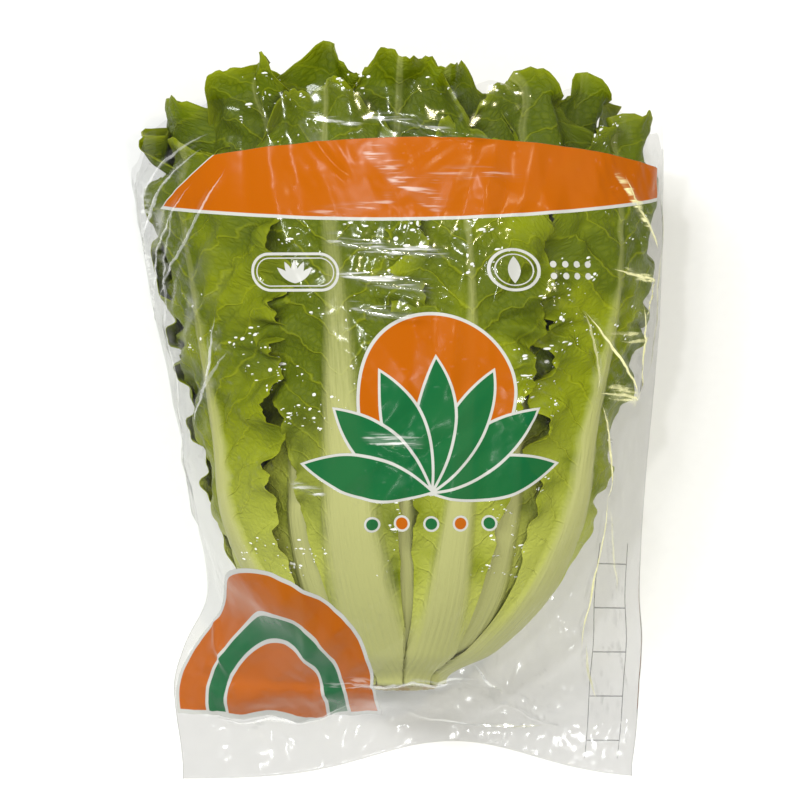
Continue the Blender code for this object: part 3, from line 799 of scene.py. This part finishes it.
# Each painted glare, a streak where the smooth film would mirror a lamp: its ends as U, V, its bow and width
# in mm, its strength.
PAINTED_GLARES = (
    ((-18, 117), (20, 85), 3.0, 11.0, 0.42),
    ((-2, 95), (58, 100), -4.0, 7.0, 0.24),
    ((-44, 84), (2, 93), 2.0, 6.0, 0.28),
    ((-36, 74), (22, 67), 2.0, 7.0, 0.85),
    ((-32, 60), (14, 53), 2.0, 7.0, 0.85),
    ((-28, 45), (4, 40), 1.0, 5.0, 0.75),
    ((-20, 126), (28, 118), -3.0, 5.0, 0.45),
    ((-42, 129), (-14, 124), 1.0, 4.0, 0.60),
    ((-124, 108), (-132, 34), 3.0, 12.0, 0.30),
    ((-24, -13), (8, -16), 0.5, 5.0, 0.90),
    ((-54, -33), (-36, -38), 0.5, 4.0, 0.80),
    ((-60, -128), (60, -126), -4.0, 5.0, 0.40),
    ((97, 106), (115, 88), 1.0, 4.5, 0.95),
    ((105, 96), (122, 74), 1.0, 4.0, 0.95),
    ((90, 6), (118, 2), -1.0, 8.0, 0.95),
    ((98, 61), (125, 57), 1.0, 4.0, 0.85),
    ((92, 32), (112, 34), 1.0, 3.0, 0.70),
)
# The finer folds, which lie only where the film is gathered.
FINE_FOLD_SETS = (
    (-18, 11.0, 1.2, 15),
    (64, 9.0, 1.0, 16),
    (-52, 7.0, 0.8, 17),
    (20, 5.5, 0.5, 18),
)
# Each gathered place on the front: U, V, half width, half height in mm.
GATHERED = (
    (-12, 112, 34, 12), (-14, 66, 30, 30), (112, 80, 22, 40), (100, 20, 26, 34), (-112, 84, 20, 36),
    (-98, 18, 16, 34), (-6, -16, 18, 12), (30, 84, 26, 10), (-20, -128, 60, 12), (88, -138, 48, 14),
    (-124, -120, 20, 26), (128, -100, 14, 50), (-76, -22, 22, 30), (-92, 62, 14, 18), (60, 12, 12, 40),
    (112, 104, 20, 14), (14, -84, 40, 14),
)
# Each long crease on the front: its ends as U, V, its bow, height and half width in mm, and the strength of
# the highlight painted along its crest.
LONG_CREASES = (
    ((88, 4), (99, -42), -2.0, 2.2, 3.2, 0.90),
    ((99, -40), (126, -86), 1.0, 2.2, 3.2, 0.30),
    ((99, -38), (104, -112), 1.5, 1.6, 3.0, 0.90),
    ((78, 44), (117, 4), 1.0, 2.6, 4.0, 1.00),
    ((117, 2), (113, 48), -1.0, 2.2, 3.0, 1.00),
    ((113, 40), (125, 62), 1.0, 1.8, 3.0, 0.70),
    ((86, 7), (118, 4), -1.0, 2.4, 4.0, 0.80),
    ((78, 44), (86, 6), -2.0, 1.6, 3.0, 0.60),
    ((132, 104), (129, 8), 2.0, 1.8, 3.0, 0.25),
    ((122, -84), (140, -134), 3.0, 3.0, 6.0, 0.0),
    ((106, -106), (118, -134), 1.5, 1.6, 3.0, 0.50),
    ((-86, 116), (-136, 62), 4.0, 2.4, 3.6, 0.50),
    ((-76, 106), (-126, 44), -3.0, 2.0, 3.2, 0.42),
    ((-95, 108), (-124, 82), 1.0, 1.8, 2.6, 0.0),
    ((-80, 54), (-110, 28), 2.0, 2.2, 3.0, 0.0),
    ((-88, 42), (-109, -8), -2.0, 2.4, 3.2, 0.60),
    ((-84, 26), (-104, 4), 1.0, 1.8, 2.6, 0.35),
    ((-118, 60), (-112, -60), 3.0, 2.4, 4.0, 0.25),
    ((-40, -128), (30, -124), -4.0, 3.4, 5.5, 0.50),
    ((28, -124), (104, -151), -3.0, 3.0, 5.0, 0.0),
    ((-124, -142), (-30, -134), 4.0, 3.0, 5.0, 0.45),
    ((-6, -138), (92, -146), 4.0, 1.8, 3.5, 0.35),
    ((36, -114), (58, -129), 0.5, 1.8, 2.6, 0.45),
    ((-132, -92), (-104, -126), 2.0, 2.4, 4.0, 0.0),
    ((-10, 128), (44, 118), 1.0, 2.0, 3.0, 0.0),
    ((-44, 130), (-22, 100), 1.0, 1.6, 2.6, 0.0),
    ((-82, 122), (-132, 84), 5.0, 1.8, 2.6, 0.40),
    ((-92, 100), (-134, 30), 5.0, 1.8, 2.6, 0.45),
    ((-100, 96), (-122, 14), 3.0, 1.6, 2.4, 0.35),
    ((-112, 112), (-138, 92), 1.0, 1.4, 2.2, 0.0),
    ((-34, 74), (26, 66), 1.5, 2.0, 3.0, 0.0),
    ((-30, 60), (22, 50), 1.5, 2.0, 3.0, 0.0),
    ((-26, 44), (10, 39), 1.0, 1.8, 2.6, 0.0),
    ((94, 62), (126, 58), 1.0, 1.8, 2.6, 0.90),
    ((98, 30), (122, 33), 1.0, 1.4, 2.4, 0.55),
    ((104, 104), (126, 70), 2.0, 1.6, 2.6, 0.80),
)
PAINTED_CREST_WIDTH = 0.85  # half the width in mm of the highlight painted along a crease, in the middle of its length


def hull(points):
    """Corners of the tight loop round a set of points, as its lower and its upper chain."""
    ordered = sorted(map(tuple, points))

    def chain(walk):
        """The corners that are left when each one that turns the wrong way is dropped."""
        kept = []
        for point in walk:
            while len(kept) > 1 and (
                (kept[-1][0] - kept[-2][0]) * (point[1] - kept[-2][1])
                <= (kept[-1][1] - kept[-2][1]) * (point[0] - kept[-2][0])
            ):
                kept.pop()
            kept.append(point)
        return kept

    return chain(ordered), chain(ordered[::-1])


def along_chain(chain):
    """Points spread evenly by length along a chain of corners."""
    corners = np.array(chain)
    lengths = np.concatenate([[0], np.cumsum(np.hypot(*np.diff(corners, axis=0).T))])
    places = np.linspace(0, lengths[-1], SECTION_STEPS + 1)
    return np.stack([np.interp(places, lengths, corners[:, k]) for k in (0, 1)], axis=1)


def bag_section(y):
    """The film at one Y: the tight loop round the head's section and the two creases, as two chains."""
    along = np.clip((y - BUTT_Y) / HEAD_LENGTH, 0, 1)
    x, z = head_section(np.array([along]), np.array([-FILM_CLEARANCE]), None)
    fall = ease((BUTT_Y - DRAPE_START - y) / BUTT_DRAPE)
    z = FILM_FLOOR + (np.maximum(z[0], FILM_FLOOR) - FILM_FLOOR) * (1 - fall) + SEAL_HEIGHT / 2 * fall
    left, right, height = (float(spline(y, BAG_STATIONS, column)) for column in (1, 2, 3))
    creases = [(left, max(FILM_FLOOR, height)), (right, max(FILM_FLOOR, height))]
    flat = [(FLAT_SHARE * crease[0], FILM_FLOOR) for crease in creases]
    under, over = hull(list(zip(x[0], z)) + creases + flat)
    return along_chain(over), along_chain(under)[::-1]


def between_sections(sections, y, side):
    """X and Z between the four nearest points of the sections, for places given by Y and by side."""
    row = (y - SECTION_Y[0]) / (SECTION_Y[-1] - SECTION_Y[0]) * (SECTION_ROWS - 1)
    row = np.clip(row, 0, SECTION_ROWS - 1.001)
    column = np.clip((1 - side) / 2 * SECTION_STEPS, 0, SECTION_STEPS - 0.001)
    r, c = row.astype(int), column.astype(int)
    up, over = (row - r)[..., None], (column - c)[..., None]
    low, high = (sections[line, c] * (1 - over) + sections[line, c + 1] * over for line in (r, r + 1))
    return low * (1 - up) + high * up


def smoothed(sections):
    """A panel's sections, each a weighted mean of its neighbours along the head, over about 2 cm.

    Near the rim, and where the film drapes to the weld, they stay as they are.
    """
    weights = np.exp(-((np.arange(-SMOOTHING_ROWS, SMOOTHING_ROWS + 1) / SMOOTHING_SPREAD) ** 2) / 2)
    padded = np.pad(sections, ((SMOOTHING_ROWS, SMOOTHING_ROWS), (0, 0), (0, 0)), mode="edge")
    rows = sum(weight * padded[row:row + SECTION_ROWS] for row, weight in enumerate(weights))
    share = (ease((SECTION_Y + 0.095) / 0.050) * ease((FRONT_RIM_Y - SECTION_Y) / 0.030))[:, None, None]
    return sections * (1 - share) + rows / weights.sum() * share


SECTION_Y = np.linspace(SEAL_Y, FRONT_RIM_Y, SECTION_ROWS)
BAG_SECTIONS = [bag_section(float(y)) for y in SECTION_Y]
FRONT_SECTIONS, BACK_SECTIONS = (smoothed(np.stack(panel)) for panel in zip(*BAG_SECTIONS))


def folds(u, v, direction, spacing, seed):
    """Straight creases across the film: a drifting zigzag along one direction, there only in patches."""
    turn = math.radians(direction)
    over, along = u * math.cos(turn) + v * math.sin(turn), v * math.cos(turn) - u * math.sin(turn)
    drift = 0.8 * bumps(over / 55 + 30, along / 80 + 30, seed)
    count = over / spacing + drift
    zigzag = 2 * np.abs(count - np.floor(count) - 0.5)
    patch = ease((bumps(over / (spacing * 2.6) + 20, along / (spacing * 5.0) + 20, seed + 40) + 0.15) / 0.7)
    return patch * (zigzag - 0.5)


def along_streak(u, v, start, end, bow):
    """How far each point lies off a bowed line, in mm, and a share that fades to 0 at the line's ends."""
    (u0, v0), (u1, v1) = start, end
    length = math.hypot(u1 - u0, v1 - v0)
    along = ((u - u0) * (u1 - u0) + (v - v0) * (v1 - v0)) / length**2
    off = ((u - u0) * (v1 - v0) - (v - v0) * (u1 - u0)) / length - 4 * bow * along * (1 - along)
    return off, ease(along / 0.2) * ease((1 - along) / 0.2)


def film_tube():
    """The film before its folds: a tube pulled tight round the head and the creases.

    Rows run from the weld to the rim, and columns round both panels. Returned with each point's side,
    from 1 at the right to -1 at the left, its share of the way up, and whether it is on the front.
    """
    column = np.arange(FILM_AROUND)
    front = column <= FILM_COLUMNS
    side = np.where(front, 1 - 2 * column / FILM_COLUMNS, -1 + 2 * (column - FILM_COLUMNS) / FILM_COLUMNS)
    share, side = np.meshgrid(np.linspace(0, 1, FILM_ROWS), side, indexing="ij")
    front = np.broadcast_to(front, side.shape)
    ruffle = 0.0016 * np.sin(side * 23 + 1.0) + 0.0012 * np.sin(side * 51)
    rim = FRONT_RIM_Y + ruffle - np.where(side > 0, RIM_DROP_RIGHT, RIM_DROP_LEFT) * np.abs(side) ** 3
    seal = SEAL_Y + SEAL_BOW * np.exp(-(((side - SEAL_BOW_AT) / SEAL_BOW_WIDTH) ** 2))
    y = seal + (rim - seal) * share - np.where(front, 0, BACK_RIM_DROP * share * (1 - side**2))
    panels = (between_sections(sections, y, side) for sections in (FRONT_SECTIONS, BACK_SECTIONS))
    spots = np.where(front[..., None], *panels)
    return np.stack([spots[..., 0], y, spots[..., 1]], axis=-1), side, share, front


def film_folds(u, v, side, share, front):
    """How far the film stands off its tube, in mm: folds, long creases and the flutter of the rim."""
    height, fine = (
        sum(size * folds(u, v, direction, spacing, seed) for direction, spacing, size, seed in sets)
        for sets in (FOLD_SETS, FINE_FOLD_SETS)
    )
    gathered = sum(
        np.exp(-(((u - x) / wide) ** 2) - ((v - y) / tall) ** 2) for x, y, wide, tall in GATHERED
    )
    bulges = BULGE_HEIGHT * bumps(u / BULGE_SIZE + 9, v / BULGE_SIZE + 9, 31)
    height = height + fine * np.minimum(gathered, 1) + bulges
    for start, end, bow, rise, half_width, _ in LONG_CREASES:
        off, fade = along_streak(u, v, start, end, bow)
        height = height + rise * fade * front * np.clip(1 - np.abs(off) / half_width, 0, 1) ** 1.4
    # A soft floor, since the head under the film holds it out.
    height = 0.5 * np.logaddexp(0, (height + 1.5) / 0.5) - 0.6
    flutter = FILM_FLUTTER * (1 + np.sin(u / 8.5 + 2.2 * np.sin(u / 21))) * ease((share - 0.90) / 0.10)
    height = height + flutter * np.where(front, 1.0, BACK_FLUTTER)
    bottom = 0.25 + 0.75 * ease((share - 0.02) / 0.06)
    return height * np.where(front, 1.0, BACK_FOLDS) * bottom * (1 - 0.8 * np.abs(side) ** 9)


def painted_glares(u, v, front):
    """How strongly a lamp's glare is painted on each point: bowed streaks, sharp at one edge and soft at the
    other.
    """
    strongest = np.zeros_like(u)
    for start, end, bow, width, strength in PAINTED_GLARES:
        off, fade = along_streak(u, v, start, end, bow)
        soft = ease(1 - np.where(off > 0, off / (0.25 * width), -off / width))
        strongest = np.maximum(strongest, strength * soft * fade * front)
    return strongest


def film_haze(u, v, height, front):
    """How milky each point is: where the film bends sharply, and in streaks where the left was gripped."""
    bend = np.abs(height - (np.roll(height, 1, axis=1) + np.roll(height, -1, axis=1)) / 2)
    bend[1:-1] = np.maximum(bend[1:-1], np.abs(height[2:] - 2 * height[1:-1] + height[:-2]) / 2)
    gripped = np.exp(-(((u - GRIP_PLACE[0]) / GRIP_SIZE[0]) ** 2) - ((v - GRIP_PLACE[1]) / GRIP_SIZE[1]) ** 2)
    streak = bumps((u * 0.83 - v * 0.55) / 2.6 + 90, (u * 0.55 + v * 0.83) / 42 + 90, 34)
    gripped = 1.05 * gripped * ease((streak - 0.05) / 0.6)
    return np.maximum(ease((bend - 0.12) / 0.30) * 0.5, np.where(front, gripped, 0))


def folded(tube, height, front):
    """The tube's points moved out along its normal by their height in mm, but never into the table."""
    round_tube = (np.roll(tube, -1, axis=1) - np.roll(tube, 1, axis=1)) / 2
    outward = unit(np.cross(np.gradient(tube, axis=0), round_tube))
    points = tube + outward * (height / 1000)[..., None]
    lowest = np.where(front, FILM_FLOOR + 0.0006, FILM_FLOOR - 0.0003)
    points[..., 2] = np.maximum(points[..., 2], lowest)
    return points


# The print's inks, the tones of the clear film, and the places and sizes of what is printed, in U and V.
INK_ORANGE = (0.430, 0.096, 0.0005)
INK_GREEN = (0.004, 0.115, 0.034)
INK_WHITE = (0.520, 0.525, 0.500)
INK_GREY = (0.120, 0.130, 0.140)
CLEAR_GREY = (0.150, 0.152, 0.150)
HAZE_WHITE = (0.560, 0.560, 0.550)
PAINTED_LIGHT_WHITE, PAINTED_LIGHT_YELLOW = (0.880, 0.890, 0.880), (0.900, 0.880, 0.480)  # painted light on the glares and the long creases
YELLOW_FROM, YELLOW_TO = 40.0, 90.0  # the painted light turns yellow between these places in U
CLING_FROM, CLING_TO = -130.0, -100.0  # and the film clings to wet leaves past these in V
INK_COVER = 0.97
BAND_MIDDLE, BAND_LOW, BAND_TOP, BAND_LEFT, BAND_RIGHT = 10.0, 84.0, 119.0, -109.0, 128.0
SUN_CENTRE, SUN_RADIUS = (10.0, 6.0), 35.0
FAN_CENTRE, FAN_LENGTH, FAN_HALF_WIDTH = (10.0, -36.0), 58.0, 8.6
FAN_TURNS = (12, 38, 64, 90, 116, 142, 168)  # in degrees
DOT_RADIUS, DOT_SPACING, DOTS_V = 2.6, 13.0, -50.0
HILL_CENTRE, HILL_SIZE = (-80.0, -139.0), (62.0, 66.0)
HILL_STEPS = ((1.000, INK_ORANGE), (0.700, INK_GREEN), (0.500, INK_ORANGE))  # share of the size, and ink
LEFT_PLATE, LEFT_PLATE_STRAIGHT, LEFT_PLATE_RADIUS = (-48.0, 60.0), 11.0, 8.6
RIGHT_PLATE, RIGHT_PLATE_RADIUS = (48.0, 61.0), 9.5
PLATE_LINE, INNER_LINE = 1.3, 0.6
LADDER_MIDDLE, LADDER_HALF, LADDER_STEP, LADDER_LOW, LADDER_HIGH = -414.5, 10.5, 20.5, -162.0, -62.0
LADDER_LINE, LADDER_COVER = 0.30, 0.75  # half the width of its lines, and their cover
# The parts of the film with print on them, and those with light painted along their creases: U from and to, V
# from and to.
PRINTED_PARTS = (
    (-116, 136, 78, 124), (-64, 86, -62, 48), (-72, -24, 46, 74), (30, 92, 46, 74), (-146, -14, -144, -66),
    (-430, -399, -168, -58),
)
CREASED_PARTS = ((76, 136, -140, 108), (-142, -74, -64, 126), (-128, 96, -152, -110))
CLEAR_SHEEN = 0.130  # share of the light that the clear film stops or sends back
CREASE_HAZE = 0.48  # the share that is added where a crease has turned the film milky
WELD_HAZE_FROM, WELD_HAZE_TO, WELD_HAZE = -104.0, -146.0, 0.085  # V, and the share that is added there


def print_inks(finish, u, v):
    """The print as a colour and a cover: shapes in mm, above 0 inside, laid one over the other."""
    colour, cover = INK_WHITE, None

    def lay(shape, tone, strength=1.0):
        """Ink of one tone where the shape is above 0, over what is there."""
        nonlocal colour, cover
        mask = finish.step(shape, -0.12, 0.12)
        colour = finish.blend(mask, colour, tone)
        mask = mask * strength
        cover = mask if cover is None else cover.larger(mask)

    def lay_edged(shape, border, tone):
        """A shape with a white border round it."""
        lay(shape + border, INK_WHITE)
        lay(shape, tone)

    def inside(first, *others):
        """Where every one of the shapes is: the smallest of them."""
        for other in others:
            first = first.smaller(other)
        return first

    def lay_line(shape, width):
        """A white line just inside the edge of a shape."""
        lay(inside(shape, width - shape), INK_WHITE)

    def distance(centre):
        """How far each point lies from a centre."""
        right, up = u - centre[0], v - centre[1]
        return (right * right + up * up) ** 0.5

    def leaf_shape(stalk, turn, length, half_width):
        """A pointed leaf from its stalk: its half width there less the distance from its middle line."""
        turn = math.radians(turn)
        right, up = u - stalk[0], v - stalk[1]
        out = right * math.cos(turn) + up * math.sin(turn)
        over = up * math.cos(turn) - right * math.sin(turn)
        share = out * (2 / length) - 1
        return (1 - share * share) * half_width - abs(over)

    # An arched orange band under the rim, with a thin white lower border.
    off = u - BAND_MIDDLE
    top_edge = BAND_TOP - off * off * 0.00088 - v
    low_edge = v - BAND_LOW - off * off * 0.00058 - off * 0.02
    left_edge = (u - BAND_LEFT) * 0.75 - (v - 91.5)
    right_edge = (BAND_RIGHT - u) - (v - 97.0) * (v - 97.0) * 0.02
    lay(inside(top_edge, low_edge + 1.5, left_edge, right_edge), INK_WHITE)
    lay(inside(top_edge, low_edge, left_edge - 0.6, right_edge - 0.6), INK_ORANGE)

    # A sun behind a fan of leaves, with a row of dots under it.
    lay_edged(SUN_RADIUS - distance(SUN_CENTRE), 1.5, INK_ORANGE)
    for turn in FAN_TURNS:
        lay_edged(leaf_shape(FAN_CENTRE, turn, FAN_LENGTH, FAN_HALF_WIDTH), 1.3, INK_GREEN)
    for count in range(-2, 3):
        dot = DOT_RADIUS - distance((FAN_CENTRE[0] + count * DOT_SPACING, DOTS_V))
        lay_edged(dot, 1.0, INK_ORANGE if count % 2 else INK_GREEN)

    # Two small plates under the band, in white outline, with leaves and dots.
    over, up = (abs(u - LEFT_PLATE[0]) - LEFT_PLATE_STRAIGHT).larger(0.0), v - LEFT_PLATE[1]
    plate = LEFT_PLATE_RADIUS - (over * over + up * up) ** 0.5
    lay_line(plate, PLATE_LINE)
    lay_line(plate - 2.2, INNER_LINE)
    for turn in (42, 66, 90, 114, 138):
        lay(leaf_shape((LEFT_PLATE[0], LEFT_PLATE[1] - 5.0), turn, 10.5, 1.5), INK_WHITE)
    right, up = (u - RIGHT_PLATE[0]) * 0.78, v - RIGHT_PLATE[1]
    plate = RIGHT_PLATE_RADIUS - (right * right + up * up) ** 0.5
    lay_line(plate, PLATE_LINE)
    lay_line(plate - 2.4, INNER_LINE)
    lay(leaf_shape((RIGHT_PLATE[0], RIGHT_PLATE[1] - 6.0), 90, 12.0, 3.0), INK_WHITE)
    for count in range(4):
        for rise in (-2.6, 2.6):
            lay(1.5 - distance((RIGHT_PLATE[0] + 18.0 + count * 5.5, RIGHT_PLATE[1] + rise)), INK_WHITE)

    # Hills in the lower left corner: half ovals inside each other, cut straight below.
    right, up = (u - HILL_CENTRE[0]) / HILL_SIZE[0], (v - HILL_CENTRE[1]) / HILL_SIZE[1]
    from_middle = (right * right + up * up) ** 0.5
    for share, tone in HILL_STEPS:
        lay_edged(inside((share - from_middle) * HILL_SIZE[0], v - HILL_CENTRE[1]), 2.0, tone)

    # A ladder of empty boxes in thin grey lines on the back.
    off = abs(u - LADDER_MIDDLE)
    rail = LADDER_LINE - abs(off - LADDER_HALF)
    rung = LADDER_LINE - abs((v / LADDER_STEP).fraction() - 0.5) * LADDER_STEP
    lines = rail.larger(inside(rung, LADDER_HALF - off))
    lay(inside(lines, LADDER_HIGH - v, v - LADDER_LOW), INK_GREY, LADDER_COVER)
    return colour, cover


def painted_crest_light(finish, u, v, wavy):
    """Painted light along the crests of the long creases: bowed lines in mm that thin out towards both ends.
    """
    brightest = None
    for (u0, v0), (u1, v1), bow, _, _, painted_shine in LONG_CREASES:
        if painted_shine:
            length = math.hypot(u1 - u0, v1 - v0)
            right, up = (u1 - u0) / length, (v1 - v0) / length
            along = u * (right / length) + v * (up / length) - (u0 * right + v0 * up) / length
            arch = along * (1 - along) * 4
            off = u * up - v * right - (u0 * up - v0 * right) - arch * bow
            crest = finish.step(arch * PAINTED_CREST_WIDTH - abs(off + wavy), -0.10, 0.40) * painted_shine
            brightest = crest if brightest is None else crest.larger(brightest)
    return brightest


def film_finish(name, printed, creased):
    """Clear film that shines a little and turns milky along its creases, with ink where it is printed.

    Clear film is a dark grey metal with little cover: it mirrors the lamps, and the leaves keep their
    colour under it. Glares of the lamps and light along the long creases are painted into its colour,
    in white and yellow, and the painted glare washes over the ink.
    """
    finish = Finish(name, Specular_IOR_Level=0.13)
    flat = finish.node("ShaderNodeUVMap", {"uv_map": "flat"}, {})
    u, v = finish.axis(flat, "X"), finish.axis(flat, "Y")
    facing = finish.node("ShaderNodeLayerWeight", {}, {"Blend": 0.35}, "Facing")
    milky = finish.value("crease") * finish.step(finish.grain(flat, 0.06), 0.25, 0.60)
    fibres = finish.grain(finish.stretch(flat, (0.10, 1.0, 1.0)), 0.55)
    # bright is painted light: the lamps' glares, streaked by fibres, and on creased skins the light along the
    # crests.
    bright = finish.value("glare") * (0.18 + finish.step(fibres, 0.48, 0.64) * 0.95)
    if creased:
        broken = finish.grain(flat, 0.16)
        bright = bright.larger(painted_crest_light(finish, u, v, (broken - 0.5) * 1.6) * (0.35 + broken * 1.1))
    clear = CLEAR_SHEEN + facing**3.0 * 0.38 + finish.step(v, WELD_HAZE_FROM, WELD_HAZE_TO) * WELD_HAZE
    clear = clear + bright.larger(milky * CREASE_HAZE)
    milky = milky.larger(bright)
    # The painted light is white, and turns yellow towards the right.
    painted_light_tone = finish.blend(finish.step(u, YELLOW_FROM, YELLOW_TO), PAINTED_LIGHT_WHITE, PAINTED_LIGHT_YELLOW)
    grey = finish.blend(milky, CLEAR_GREY, HAZE_WHITE)
    colour = finish.blend(finish.step(bright, 0.0, 0.25), grey, painted_light_tone)
    # Dimples where the film clings to the wet leaves.
    cling = finish.step(finish.grain(flat, 0.035), 0.46, 0.62) * finish.step(v, CLING_FROM, CLING_TO)
    dimple = finish.node("ShaderNodeTexVoronoi", {"feature": "F1"}, {"Vector": flat, "Scale": 0.15})
    height = finish.step(dimple, 0.05, 0.55) * cling * 0.6 + finish.grain(flat, 0.10, 1.0)
    if printed:
        ink, cover = print_inks(finish, u, v)
        # The painted glare washes over the ink.
        finish.drive("Base Color", finish.blend(cover * (1 - bright), colour, ink))
        finish.drive("Alpha", clear.larger(cover * INK_COVER))
        finish.drive("Metallic", (1 - cover) * (1 - milky))
        finish.drive("Roughness", 0.12 + cover * 0.10)
        height = height * (1 - cover * 0.5)
    else:
        finish.drive("Base Color", colour)
        finish.drive("Alpha", clear)
        finish.drive("Metallic", 1 - milky)
        finish.drive("Roughness", 0.12 + milky * 0.1)
    finish.relief(height, 0.0005)
    return finish


tube, film_side, film_share, film_front = film_tube()
film_u, film_v = film_side * PANEL_HALF_MM, tube[..., 1] * 1000
film_height = film_folds(film_u, film_v, film_side, film_share, film_front)
unfolded_u = np.where(film_front, film_u, -2 * PANEL_HALF_MM - film_u)
film_flat = np.stack([unfolded_u, film_v], axis=-1).reshape(-1, 2)
film_values = {
    "crease": film_haze(film_u, film_v, film_height, film_front).ravel(),
    "glare": painted_glares(film_u, film_v, film_front).ravel(),
}
# The tube's faces, then the weld that closes it from side to side.
film_faces = grid_faces(FILM_ROWS, FILM_AROUND, closed=True)
seam = np.arange(1, FILM_COLUMNS - 1)
weld = np.stack([seam, seam + 1, FILM_AROUND - seam - 1, FILM_AROUND - seam], axis=-1)
weld_ends = np.array([[0, 1, FILM_AROUND - 1], [FILM_COLUMNS - 1, FILM_COLUMNS, FILM_COLUMNS + 1]])
film_skins = [
    film_finish("clear_film", False, False),
    film_finish("printed_film", True, False),
    film_finish("creased_film", False, True),
    film_finish("printed_creased_film", True, True),
]
film = piece(
    "printed_bag", folded(tube, film_height, film_front).reshape(-1, 3), [film_faces, weld, weld_ends],
    film_skins[0], film_flat, film_values,
)
for skin in film_skins[1:]:
    film.data.materials.append(skin.material)
# A face's skin is 1 where there is print, 2 where light is painted along the creases, and 3 where there are
# both.
face_u, face_v = film_flat[film_faces].mean(axis=1).T
skin_number = np.zeros(len(film.data.polygons), np.int32)
for number, parts in ((1, PRINTED_PARTS), (2, CREASED_PARTS)):
    for u_from, u_to, v_from, v_to in parts:
        within = (face_u > u_from) & (face_u < u_to) & (face_v > v_from) & (face_v < v_to)
        skin_number[: len(face_u)] |= within * number
film.data.polygons.foreach_set("material_index", skin_number)
# So thin a film casts hardly any shade, so it leaves the light on the leaves as it is.
film.visible_shadow = film.visible_diffuse = film.visible_glossy = False
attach(film, "root")
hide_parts("bag_film")


# Water
# Drops that were left on the leaves when the head was washed, and that the bag keeps in.
# Each is a low dome of clear water that holds on to the skin of a leaf, with its glint painted on in white
# where it faces one fixed direction.
DROP_COUNT = 1300
DROP_RADIUS, DROP_HEIGHT = 0.00075, 0.55  # usual radius, and height as a share of the radius
DROP_RINGS, DROP_SIDES = (8, 34, 62, 96), 8  # degrees down from each dome's top, and points round it
DROP_LOW, DROP_HIGH = -0.075, 0.150  # the drops' lowest and highest Y
WET_PATCH = 0.016  # the size of the patches that hold drops
PAINTED_GLINT_DIRECTION = (-0.28, 0.40, 0.87)  # the fixed direction that each drop's painted glint faces
# The drop's faint colour, and the white of its painted glint.
DROP_SHADE, DROP_PAINTED_GLINT = (0.200, 0.230, 0.080), (0.950, 0.960, 0.950)


def water_drops(skins):
    """Domes on the leaves: rings of points whose radius is the sine of their angle and height the cosine.

    Each dome stands on a vertex of a leaf's outer skin that faces up, turned to the skin's own slope.
    """
    chance = np.random.default_rng(7)
    places = np.concatenate([skin[0] for skin in skins])
    slopes = np.concatenate([skin[1] for skin in skins])
    gathered = bumps(places[:, 0] / WET_PATCH + 40, places[:, 1] / WET_PATCH + 40, 77) > 0.15
    usable = (slopes[:, 2] > 0.45) & (places[:, 1] > DROP_LOW) & (places[:, 1] < DROP_HIGH) & gathered
    picked = chance.choice(np.flatnonzero(usable), DROP_COUNT, replace=False)
    middle, up = places[picked][:, None, None], slopes[picked]
    radius = DROP_RADIUS * np.exp(np.clip(chance.normal(-0.15, 0.55, DROP_COUNT), -1.1, 0.75))
    over = unit(np.cross(up, (0.0, 1.0, 0.0)))
    back = np.cross(up, over)
    tilt = np.radians(DROP_RINGS)[None, :, None, None]
    turn = np.linspace(0, 2 * math.pi, DROP_SIDES, endpoint=False)[None, None, :, None]
    stretch = chance.uniform(0.7, 1.8, DROP_COUNT)[:, None, None, None]
    ring = over[:, None, None] * np.cos(turn) * stretch + back[:, None, None] * np.sin(turn) / stretch**0.5
    size = radius[:, None, None, None]
    points = middle + size * (ring * np.sin(tilt) + DROP_HEIGHT * up[:, None, None] * np.cos(tilt))
    firsts = np.arange(DROP_COUNT)[:, None, None] * len(DROP_RINGS) * DROP_SIDES
    dome = capped(len(DROP_RINGS), DROP_SIDES)
    return points.reshape(-1, 3), [(group + firsts).reshape(-1, group.shape[1]) for group in dome]


water = Finish("water", Roughness=0.10, IOR=1.33)
slope = water.node("ShaderNodeNewGeometry", {}, {}, "Normal")
toward_light = water.node(
    "ShaderNodeVectorMath", {"operation": "DOT_PRODUCT"}, {0: slope, 1: PAINTED_GLINT_DIRECTION}, "Value"
)
dull = water.grain(water.places(), 160.0, 1.0)
# A painted glint: near-white and near-opaque on the side of each dome that faces the fixed direction, broken
# up by noise.
glint = water.step(toward_light - dull * 0.5, 0.50, 0.66)
water.drive("Base Color", water.blend(glint, DROP_SHADE, DROP_PAINTED_GLINT))
water.drive("Alpha", 0.08 + glint * 0.82)
drops = piece("water_drops", *water_drops(wet_skins), water)
drops.visible_shadow = drops.visible_diffuse = drops.visible_glossy = False
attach(drops, "root")
